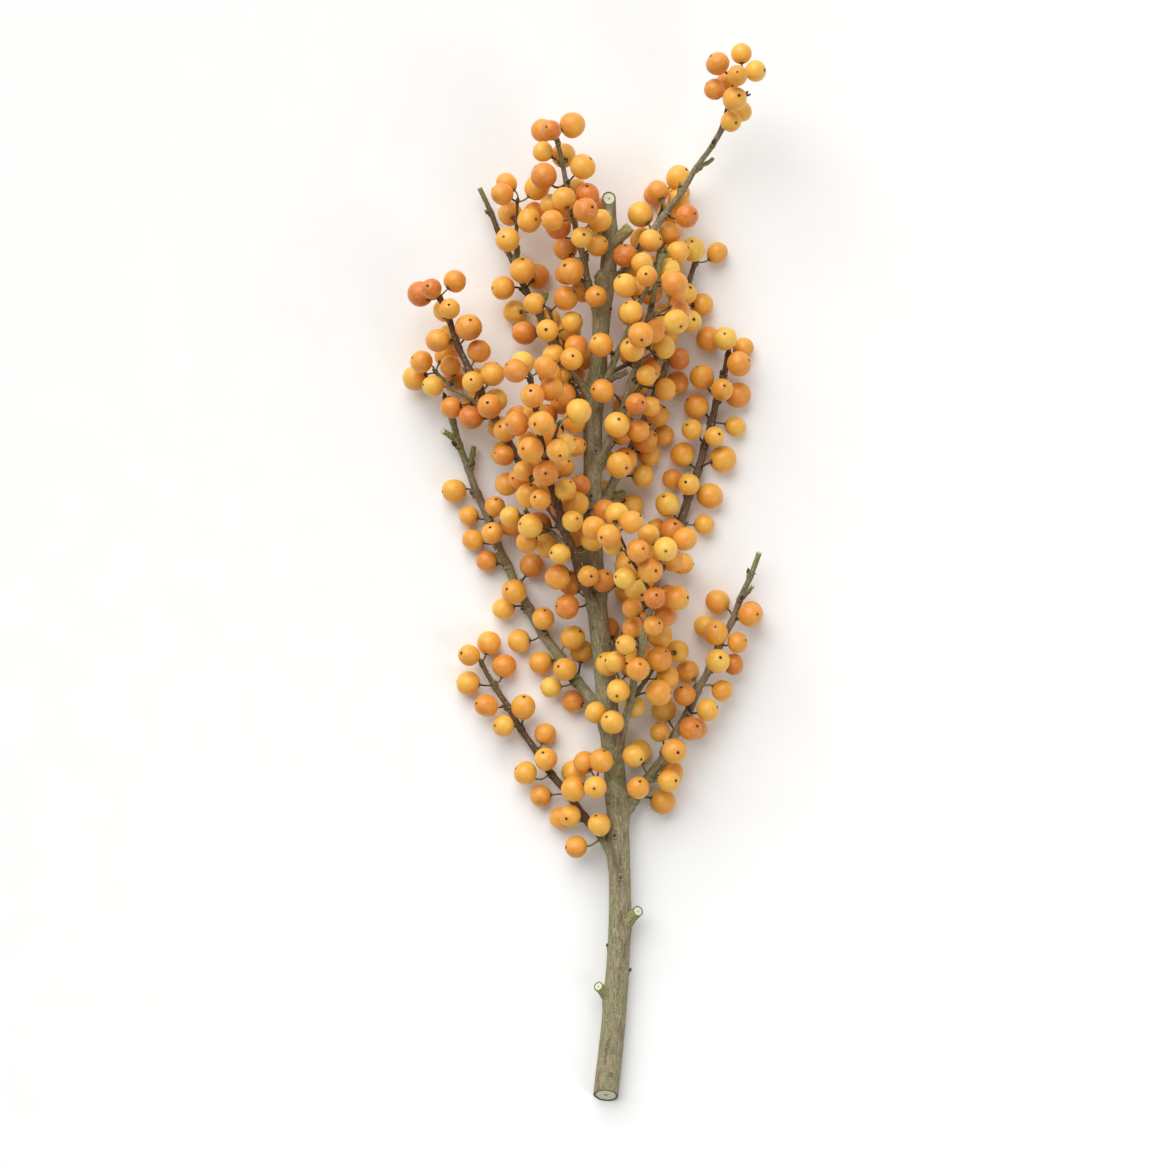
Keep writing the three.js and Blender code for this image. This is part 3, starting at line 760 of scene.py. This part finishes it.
all_from, all_to = np.array(wood_from), np.array(wood_to)
all_radius, all_owner = np.array(wood_radius), np.array(wood_owner)
bud = 0
places_left = []
for name, sticks in sprays:
    for k, wood in enumerate(sticks):
        points, last = wood["points"], len(wood["points"]) - 1
        for i in range(1, last - wood["bare"] + 1):
            along = unit(points[i] - points[i - 1])
            around = wood["turn"] + (i + k) * TURN
            count = wood["tip"] if i == last else BUNCHES[bud % len(BUNCHES)]
            bud += 1
            for berry in range(count):
                spread = 360 * berry / count if i == last else BUNCH_SPREAD * (berry - (count - 1) / 2)
                hang_berry(name, points[i], along, around + spread, draw(*BERRY_LEAN), wood["radii"][i])
            places_left.append((name, points[i], along, wood["radii"][i]))
for _ in range(MORE_AT_A_BUD):
    for name, foot, along, thickness in places_left:
        hang_berry(name, foot, along, draw(0, 360), draw(*BERRY_LEAN), thickness)
hung = {key: np.array(value) for key, value in hung.items()}
count = len(hung["radius"])
dice = np.random.default_rng(7)
form = {  # how each berry departs from a ball, in shares of its radius, and its lean on the stalk
    "wide": dice.uniform(0.95, 1.02, count), "tall": dice.uniform(0.90, 1.03, count),
    "egg": dice.uniform(-0.08, 0.07, count), "lobes": dice.integers(2, 6, count),
    "lobe": dice.uniform(0.005, 0.022, count), "lobe_turn": dice.uniform(*ANY_TURN, count),
    "twist": dice.uniform(-1.2, 1.2, count), "one_side": dice.uniform(0, 0.05, count),
    "pressed": dice.uniform(-0.02, 0.05, count), "pressed_at": dice.uniform(1.0, 2.3, count),
    "pressed_turn": dice.uniform(*ANY_TURN, count), "tip_over": dice.normal(0, 0.17, (count, 3)),
    "spin": dice.normal(0, 1, (count, 3)), "sun": unit(dice.normal(0, 1, (count, 3)) + UP * 0.7),
    "ripe": np.clip(dice.normal(0.45, 0.21, count), 0, 1),
}
rubs = np.random.default_rng(11)
form["rubbed"] = np.where(rubs.uniform(0, 1, count) < RUBBED_SHARE, rubs.uniform(0.5, 1.0, count), 0)
berry_axis = unit(unit(hung["centre"] - hung["foot"]) + form["tip_over"])
berry_side, berry_over = across(berry_axis, form["spin"])


def each(values, which):
    """One value for the whole of each chosen berry."""
    return values[which][:, None, None]


def from_pressed(which, polar, angle):
    """Angle from places on berries to where a neighbour pressed on them."""
    at, turn = each(form["pressed_at"], which), each(form["pressed_turn"], which)
    near = np.cos(polar) * np.cos(at) + np.sin(polar) * np.sin(at) * np.cos(angle - turn)
    return np.arccos(np.clip(near, -1, 1))


def on_berry(which, polar, angle, lift):
    """Points on berries at a polar angle from the stalk and an angle round: out = wide (1 + egg cos polar)
    sin polar (1 + lobe cos(lobes angle + twist polar) + one side cos angle), over its own highest value, and
    along = tall (-cos polar + dimple at the stalk - dimple at the scar). Both are times the radius, less
    where a neighbour pressed: 1 - pressed exp(-(angle from there / width)^2). Lift is added along the ray."""
    f = {key: each(value, which) for key, value in form.items() if value.ndim == 1}
    lobed = 1 + f["lobe"] * np.cos(f["lobes"] * angle + f["lobe_turn"] + f["twist"] * polar)
    lobed = (lobed + f["one_side"] * np.cos(angle)) / (1 + f["lobe"] + f["one_side"])
    pressed = f["pressed"] * hump(from_pressed(which, polar, angle), PRESSED_WIDTH)
    size = each(hung["radius"], which) * (1 - pressed)
    out = 1.01 * f["wide"] * (1 + f["egg"] * np.cos(polar)) * np.sin(polar) * lobed * size
    along = -np.cos(polar) + STALK_DIMPLE[0] * hump(polar, STALK_DIMPLE[1])
    along = f["tall"] * (along - SCAR_DIMPLE[0] * hump(polar - math.pi, SCAR_DIMPLE[1])) * size
    out = out + lift * np.sin(polar)
    along = along - lift * np.cos(polar)
    centre, side, over, axis = (each(v, which) for v in (hung["centre"], berry_side, berry_over, berry_axis))
    return (centre + side * (out * np.cos(angle))[..., None] + over * (out * np.sin(angle))[..., None]
            + axis * along[..., None])


def pole(which, polar, lift=0.0):
    """The point of each berry at its stalk, polar angle 0, or at its scar, polar angle pi, raised by lift."""
    return on_berry(which, MIDDLE + polar, MIDDLE, MIDDLE + lift)[:, 0, 0]


def disc_on_berry(which, polar, sizes, lobes, depth, steps, lifts, sides):
    """Rings round a pole of each berry, with a step, a depth and a lift from the fruit for each ring: polar
    angle from there = size / radius step (1 + depth cos(lobes angle))."""
    step, angles = all_round(steps, sides)
    size = dice.uniform(*sizes, (len(which), 1, 1)) / each(hung["radius"], which)
    wavy = 1 + np.array(depth)[:, None] * np.cos(lobes * angles + dice.uniform(*ANY_TURN, (len(which), 1, 1)))
    away = size * step * wavy
    lift = np.array(lifts)[:, None] + 0 * angles
    return on_berry(which, math.pi - away if polar else away, angles + 0 * away, lift)


def berry_skin(which):
    """The fruit itself, pressed flat where it lies on the table, with how ripe it is, how much sun a place
    has had (the cosine to the sunny side), how near the scar it is (polar angle over pi) and how far a
    neighbour has rubbed it brown."""
    polar, angle = all_round(BERRY_RINGS, BERRY_SIDES)
    rings = on_berry(which, polar[None], angle[None], 0)
    facing = unit(rings - each(hung["centre"], which))
    sunny = (facing * each(form["sun"], which)).sum(-1)
    rubbed = each(form["rubbed"], which) * hump(from_pressed(which, polar[None], angle[None]), RUBBED_WIDTH)
    skin = closed_skin(rings, pole(which, 0), pole(which, math.pi), ripe=each(form["ripe"], which),
                       sunny=sunny, scar=polar[None] / math.pi, rubbed=rubbed)
    skin["corners"][:, 2] = np.maximum(skin["corners"][:, 2], 0)
    return skin


def scar_skin(which):
    """The flower's scar: a low uneven button of three lobes at the far end, hollow in its middle, its edge
    sunk in the fruit."""
    rings = disc_on_berry(which, math.pi, SCAR_SIZE, 3, [0.14] * 4, [0.82, 1.0, 0.86, 0.45],
                          [-0.22, 0.02, 0.13, 0.10], SCAR_SIDES)
    ends = pole(which, math.pi, -0.4), pole(which, math.pi, 0.02)
    return closed_skin(rings, *ends, 1, ripe=MIDDLE, sunny=MIDDLE, scar=MIDDLE + 1, rubbed=MIDDLE)


# The skin: golden yellow to deep orange as it ripens and where the sun was, faintly clouded, with a paler
# bloom, small brown specks and bruises, and a browner ring at the stalk and at the scar.
fruit = new_finish("winterberry_skin", Subsurface_Weight=0.25, Subsurface_Radius=(1.0, 0.42, 0.12),
                   Subsurface_Scale=0.0035, Specular_IOR_Level=0.58)
place = on_piece()
cloud = noise(place, 170.0, 3.0, 0.55)
mottle = noise(place, 900.0, 4.0, 0.6)
bruise = noise(place, 75.0, 4.0, 0.6)
scar = kept("scar")
depth = calc("MULTIPLY_ADD", kept("sunny"), 0.13, kept("ripe"))
depth = calc("SUBTRACT", calc("MULTIPLY_ADD", cloud, 0.34, depth), 0.17)
rub = calc("MULTIPLY", kept("rubbed"), ramp(bruise, (0.40, 0.35), (0.60, 1.0)))
skin_tone = layered(
    ramp(depth, (0.05, 246, 198, 80), (0.35, 241, 177, 60), (0.62, 232, 149, 44), (0.95, 213, 112, 28)),
    (ramp(mottle, (0.35, 0.0), (0.75, 0.30)), tone(248, 206, 118)),
    (ramp(bruise, (0.66, 0.0), (0.74, 0.45)), tone(206, 122, 50)),
    (ramp(rub, (0.12, 0.0), (0.75, 0.72)), tone(170, 122, 46)),
    (ramp(dots(place, 620.0), (0.08, 0.45), (0.16, 0.0)), tone(206, 120, 40)),
    (ramp(scar, (0.03, 0.55), (0.13, 0.0)), tone(196, 150, 52)),
    (ramp(scar, (0.925, 0.0), (0.975, 0.7)), tone(176, 104, 30)),
)
height = calc("MULTIPLY_ADD", cloud, 2.0, mottle)
feed(shader, Base_Color=skin_tone, Roughness=ramp(mottle, (0.3, 0.33), (0.7, 0.45)),
     Normal=relief(height, 0.10, 0.0002))

dry_scar = new_finish("dry_flower_scar", Roughness=0.85)
crust = noise(on_piece(), 2400.0, 4.0)
feed(shader, Base_Color=ramp(crust, (0.35, 26, 17, 11), (0.6, 58, 38, 22), (0.8, 96, 66, 36)),
     Normal=relief(crust, 0.6, 0.0002))

for name, _ in sprays:
    which = np.flatnonzero(hung["owner"] == name)
    berries = make_piece(name + "_berries", joined([berry_skin(which), scar_skin(which)]), fruit, dry_scar)
    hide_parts(name)
    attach(berries, "root")


# THE CLIPPED TWIGS
# Where a side twig was in the way it was snipped off some millimetres from its shoot. What is left keeps its
# bark, often still green, and ends in a pale face with a dark rim.
SNIP_SHARE = 0.40  # of the buds that have room for one
SNIP_LENGTHS = (9.5, 8, 6.5)
SNIP_LEANS = (34, 46)
SNIP_SPREAD = (-36, 36)
SNIP_THICK = (0.62, 0.85)  # against the shoot it stands on
SNIP_ROOM = 0.6
SNIP_SIDES = 18
SNIP_STATION = 0.45
SNIP_CUT = (-0.6, 0.6)  # slant of the cut, as a tangent
SNIP_BEND = 0.05  # of its length
SNIP_FLARE = (0.5, 1.8)  # where it leaves its shoot: height against its radius, and reach
SNIP_RING = (0.22, 0.9)  # the same for its one low ring
SNIP_RING_AT = (0.55, 0.8)  # of its length


def room_round(foot, tip, thick):
    """Least gap from a stub to every berry and its stalk, and from its tip to all wood and to the table."""
    berries = to_segment(hung["centre"], foot, tip) - hung["radius"]
    stalks = to_segment(tip, hung["foot"], hung["centre"])
    wood = to_segment(tip, all_from, all_to) - all_radius
    return min(berries.min(), stalks.min(), wood.min(), tip[2]) - thick


def snipped_twigs(sticks, seed):
    """Stubs as bars of wood: out = thick (1 + flare exp(-(distance from the shoot's skin / reach)^2)) + fine
    waves and one low ring, each at the longest length for which it has room."""
    chance = np.random.default_rng(seed)
    skins = []
    for k, wood in enumerate(sticks):
        points, last = wood["points"], len(wood["points"]) - 1
        for i in range(1, last):
            foot, inside = points[i], wood["radii"][i]
            turned = wood["turn"] + (i + k) * TURN + chance.uniform(*SNIP_SPREAD)
            lean, thick = chance.uniform(*SNIP_LEANS), inside * chance.uniform(*SNIP_THICK)
            away = leaving(unit(foot - points[i - 1]), turned, lean)
            fits = [length for length in SNIP_LENGTHS
                    if room_round(foot, foot + away * (inside + length), thick) > SNIP_ROOM]
            if chance.uniform() > SNIP_SHARE or not fits:
                continue
            whole = inside + fits[0]
            stations = np.linspace(0, whole, int(whole / SNIP_STATION))
            s_snip, angle_snip = all_round(stations, SNIP_SIDES)
            bend = SNIP_BEND * np.sin(stations / whole * 3)[:, None] * across(away)[0] * whole
            out = thick * (1 + SNIP_FLARE[0] * hump(s_snip - inside, SNIP_FLARE[1]))
            out += 0.06 * waves(s_snip, angle_snip, seed + 7 * i + k, rounds=(3, 7), lengths=(3, 14))
            ring_at = chance.uniform(*SNIP_RING_AT) * whole
            out += SNIP_RING[0] * thick * hump(s_snip - ring_at, SNIP_RING[1])
            green = chance.uniform(0, 1) * np.clip(s_snip / whole + 0.1, 0, 1)
            way = foot + away * stations[:, None] + bend
            skins.append(bar_of_wood(way, out, seed + 3 * i + k, (0, chance.uniform(*SNIP_CUT)),
                                     (GROWN_END, CUT_END), young=0.45, green=green))
    return skins


for n, (name, sticks) in enumerate(sprays):
    skins = snipped_twigs(sticks, 5000 + 60 * n)
    if skins:
        snips = make_piece(name + "_snips", joined(skins), bark, cut_wood)
        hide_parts(name)
        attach(snips, "root")


# THE STALKS
# A berry hangs on a short stalk, olive where it is fresh and brown where it has dried, thicker at both ends.
# On the berry it ends in the flower's dried calyx, a flat star of five lobes.
STALK_SIDES = 8
STALK_RINGS = 8
STALK_RADIUS = 0.46
STALK_GIRTH = (0.85, 1.2)  # of that radius
STALK_FLARE = (0.55, 0.16)  # at the foot: height against its radius, and reach as a share of its length
STALK_HEAD = (0.35, 0.12)  # the same at the berry
STALK_FOOT = 0.6  # where its curve starts, out of the shoot's middle line
STALK_END = 0.15  # and where it ends, within the dimple
STALK_BEND = 0.55  # how far from its end the curve's knee lies, as a share of its length
STALK_LOWEST = 0.8
CALYX_SIDES = 20
CALYX_SIZE = (1.15, 1.55)


def stalk_skin(feet, knees, ends, beside, thickness):
    """Stalks as bars along the curves foot (1-t)^2 + 2 knee t (1-t) + end t^2, flared at both ends."""
    t = np.linspace(0, 1, STALK_RINGS)[None, :, None]
    way = feet[:, None] * (1 - t) ** 2 + 2 * knees[:, None] * t * (1 - t) + ends[:, None] * t**2
    along = unit(2 * (knees - feet)[:, None] * (1 - t) + 2 * (ends - knees)[:, None] * t)
    right, above = across(along, beside[:, None])
    angles = angles_of(STALK_SIDES)[None, None, :, None]
    out = thickness[:, None, None] * (
        1 + STALK_FLARE[0] * hump(t, STALK_FLARE[1]) + STALK_HEAD[0] * hump(1 - t, STALK_HEAD[1]))
    out = out * (1 + 0.06 * np.sin(9 * t + 5 * thickness[:, None, None]))
    spokes = right[:, :, None] * np.cos(angles) + above[:, :, None] * np.sin(angles)
    rings = way[:, :, None] + spokes * out[..., None]
    return closed_skin(rings, way[:, 0] - along[:, 0] * 0.2, way[:, -1] + along[:, -1] * 0.15,
                       fresh=dice.uniform(0, 1, (len(feet), 1, 1)) + 0 * t, tip=t)


def calyx_skin(which):
    """The calyx lies on the fruit round the stalk, in five lobes, 0.5 mm thick at its middle and sharp at its
    rim."""
    steps = np.array([0.25, 0.60, 0.92, 1.0, 0.70])
    lifts = [0.50, 0.34, 0.20, 0.04, -0.35]
    rings = disc_on_berry(which, 0, CALYX_SIZE, 5, 0.30 * steps, steps, lifts, CALYX_SIDES)
    return closed_skin(rings, pole(which, 0, 0.55), pole(which, 0, -0.5),
                       fresh=dice.uniform(0, 0.6, (len(which), 1, 1)), tip=steps[None, :, None])


dry_stalk = new_finish("berry_stalk", Roughness=0.68)
blotch = noise(on_piece(), 520.0, 4.0)
fresh = calc("MULTIPLY_ADD", blotch, 0.4, calc("MULTIPLY", kept("fresh"), 0.65))
feed(shader, Normal=relief(blotch, 0.5, 0.0002),
     Base_Color=ramp(fresh, (0.18, 58, 40, 26), (0.42, 92, 70, 40), (0.64, 116, 104, 54),
                     (0.86, 142, 138, 78)))

stalk_end = pole(np.arange(count), 0) + berry_axis * STALK_END
stalk_foot = hung["foot"] + unit(hung["centre"] - hung["foot"]) * STALK_FOOT
stalk_long = np.linalg.norm(stalk_end - stalk_foot, axis=1, keepdims=True)
stalk_knee = stalk_end - berry_axis * STALK_BEND * stalk_long
stalk_knee[:, 2] = np.maximum(stalk_knee[:, 2], STALK_LOWEST)
stalk_thick = STALK_RADIUS * dice.uniform(*STALK_GIRTH, count)
for name, _ in sprays:
    which = np.flatnonzero(hung["owner"] == name)
    skins = [stalk_skin(stalk_foot[which], stalk_knee[which], stalk_end[which], hung["along"][which],
                        stalk_thick[which]), calyx_skin(which)]
    stalks = make_piece(name + "_stalks", joined(skins), dry_stalk)
    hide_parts(name)
    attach(stalks, "root")


# THE BUDS AND WHAT FELL OFF
# Every node carries a small pointed winter bud of dark overlapping scales above the scar of its leaf, and the
# bare ones the dry broken ends of stalks whose berries fell.
BUD_SIDES = 12
BUD_RINGS = np.array([0.02, 0.07, 0.15, 0.25, 0.36, 0.47, 0.58, 0.69, 0.79, 0.88, 0.95, 0.985])
BUD_SCALES = 3.5  # overlapping scales up a bud, two to a turn
BUD_SIZE = (2.8, 0.95)  # length and radius of a bud on a shoot, and of one on the stem
EYE_SIZE = (1.9, 0.85)
BUD_LEAN = (28, 36)  # and of a bare one, as in the next two
BUD_RAISED = (1.15, 1.35)  # from the shoot's middle, against its radius
BUD_GROWTH = ((0.8, 1.15), (1.0, 1.35))
TIP_BUDS = ((0, 1.2), (38, 1.0), (44, 0.9))  # lean and size
BROKEN_AT_A_BUD = (2, 3)  # one more than the most
BROKEN_TURN = (-75, 75)
BROKEN_LEAN = (45, 75)
BROKEN_LENGTH = (0.9, 2.6)
BROKEN_RADIUS = (0.26, 0.40)
EYE_LEAN = 30
EYE_RAISED = 0.25  # out of the stem's skin
EYE_GROWTH = (0.85, 1.15)
bud_scales = new_finish("winter_bud", Roughness=0.6)
up_bud = kept("tip")
layers = calc("SINE", calc("MULTIPLY", up_bud, 21.0))
layers = calc("MULTIPLY_ADD", layers, 0.06, noise(on_piece(), 900.0, 4.0))
brown = ramp(layers, (0.30, 38, 27, 22), (0.52, 66, 47, 36), (0.72, 104, 78, 54))
waking = ramp(layers, (0.30, 74, 62, 40), (0.52, 112, 104, 66), (0.72, 150, 150, 112))
open_share = calc("MULTIPLY", kept("fresh"), up_bud, use_clamp=True)
feed(shader, Base_Color=layered(brown, (open_share, waking)), Normal=relief(layers, 0.6, 0.0002))


def bud_skin(feet, axes, tall, wide):
    """Blunt pointed buds: out = wide sin(pi t^0.55)^0.8 (1 - 0.16 step), along = tall t. The step is how far
    a place is up its own scale, the part of (scales t + angle / pi) past a whole number."""
    t = BUD_RINGS[None, :, None]
    angles = angles_of(BUD_SIDES)[None, None]
    step = (BUD_SCALES * t + angles / math.pi) % 1
    out = wide[:, None, None] * np.sin(math.pi * t**0.55) ** 0.8 * (1 - 0.16 * step)
    right, above = across(axes, unit(dice.normal(0, 1, axes.shape)))
    rings = (feet[:, None, None] + axes[:, None, None] * (tall[:, None, None] * t)[..., None]
             + right[:, None, None] * (out * np.cos(angles))[..., None]
             + above[:, None, None] * (out * np.sin(angles))[..., None])
    fresh = 2.2 * dice.uniform(0, 1, (len(feet), 1, 1)) ** 2
    return closed_skin(rings, feet, feet + axes * tall[:, None], fresh=fresh, tip=t)


def buds_on(name, sticks):
    """Every bud of a spray: a foot on its cushion, an axis that leans out, further on the bare shoots, and at
    the tip of each shoot that is not clipped one bud or, where it is bare, three."""
    feet, axes, size, broken = [], [], [], []
    for k, wood in enumerate(sticks):
        points, last = wood["points"], len(wood["points"]) - 1
        for i in range(1, last + 1):
            along = unit(points[i] - points[i - 1])
            turned = wood["turn"] + (i + k) * TURN
            bare = i > last - wood["bare"]
            clipped = i == last and name in CLIPPED and k == 0
            if i < last:
                feet.append(points[i] + leaving(along, turned, 90) * wood["radii"][i] * BUD_RAISED[bare])
                axes.append(leaving(along, turned, BUD_LEAN[bare]))
                size.append(dice.uniform(*BUD_GROWTH[bare]))
            elif not clipped:
                for lean, big in TIP_BUDS[:3 if bare else 1]:
                    feet.append(points[i] + along * (0.2 - 0.02 * lean))
                    axes.append(leaving(along, turned + 4 * lean, lean))
                    size.append(big * dice.uniform(0.9, 1.1))
            for _ in range(0 if clipped else dice.integers(0, BROKEN_AT_A_BUD[bare])):
                out = leaving(along, turned + dice.uniform(*BROKEN_TURN), dice.uniform(*BROKEN_LEAN))
                foot = points[i] + out * wood["radii"][i] * 0.6
                length = wood["radii"][i] * 0.5 + dice.uniform(*BROKEN_LENGTH)
                broken.append((foot, foot + out * length, along))
    size = np.array(size)
    skins = [bud_skin(np.array(feet), np.array(axes), BUD_SIZE[0] * size, BUD_SIZE[1] * size)]
    if broken:
        feet, ends, beside = (np.array(part) for part in zip(*broken))
        knees = (feet + ends) / 2 + dice.normal(0, 0.18, feet.shape)
        skins.append(stalk_skin(feet, knees, ends, beside, dice.uniform(*BROKEN_RADIUS, len(feet))))
    return joined(skins)


for name, sticks in sprays:
    buds = make_piece(name + "_buds", buds_on(name, sticks), bud_scales)
    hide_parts(name)
    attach(buds, "root")

feet, axes = [], []
for at, turned in EYES:
    along = stem_along(at)
    feet.append(stem_point(at) + leaving(along, turned, 90) * (float(stem_radius(at)) + EYE_RAISED))
    axes.append(leaving(along, turned, EYE_LEAN))
size = dice.uniform(*EYE_GROWTH, len(EYES))
skin = bud_skin(np.array(feet), np.array(axes), EYE_SIZE[0] * size, EYE_SIZE[1] * size)
stem_buds = make_piece("main_stem_buds", skin, bud_scales)
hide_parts("main_stem")
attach(stem_buds, "root")


# THE TABLE, THE LIGHT AND THE CAMERA
# A plain pale table, one soft light from the upper left, as wide as a large window, a weak lamp to the right
# and a light room. The camera looks straight down at the branch, with the tips at the top of the picture.
WINDOW = {"place": (-0.8, 1.9, 1.9), "angle": math.radians(60), "energy": 2.8}
FILL = {"place": (1.3, -0.9, 1.3), "size": 1.2, "energy": 8}
ROOM_LIGHT = 0.35
TABLE_SIZE = 80
CAMERA_HEIGHT = 1.6
CAMERA_LENS = 98

table = new_finish("pale_table", Roughness=0.75)
feed(shader, Base_Color=ramp(noise(on_piece(), 40.0, 4.0), (0.3, 249, 249, 248), (0.7, 251, 251, 250)))
bpy.ops.mesh.primitive_plane_add(size=TABLE_SIZE, location=(0, 0, 0))
floor = bpy.context.object
floor.name = "table_top"
floor.data.materials.append(table)

world = bpy.data.worlds.new("light_room")
bpy.context.scene.world = world
world.use_nodes = True
world.node_tree.nodes["Background"].inputs["Color"].default_value = (1.0, 1.0, 1.0, 1)
world.node_tree.nodes["Background"].inputs["Strength"].default_value = ROOM_LIGHT
for name, kind, settings in (("window_light", "SUN", WINDOW), ("fill_lamp", "AREA", FILL)):
    light = bpy.data.lights.new(name, kind)
    holder = bpy.data.objects.new(name, light)
    bpy.context.scene.collection.objects.link(holder)
    for key, value in settings.items():
        if key != "place":
            setattr(light, key, value)
    holder.location = settings["place"]
    holder.rotation_euler = (-holder.location).to_track_quat("-Z", "Y").to_euler()
camera = bpy.data.cameras.new("camera")
camera.sensor_width = 36
camera.lens = CAMERA_LENS
camera.clip_start = 0.05
viewer = bpy.data.objects.new("camera", camera)
bpy.context.scene.collection.objects.link(viewer)
viewer.location = (0, 0, CAMERA_HEIGHT)
bpy.context.scene.camera = viewer
bpy.context.scene.view_settings.view_transform = "Standard"
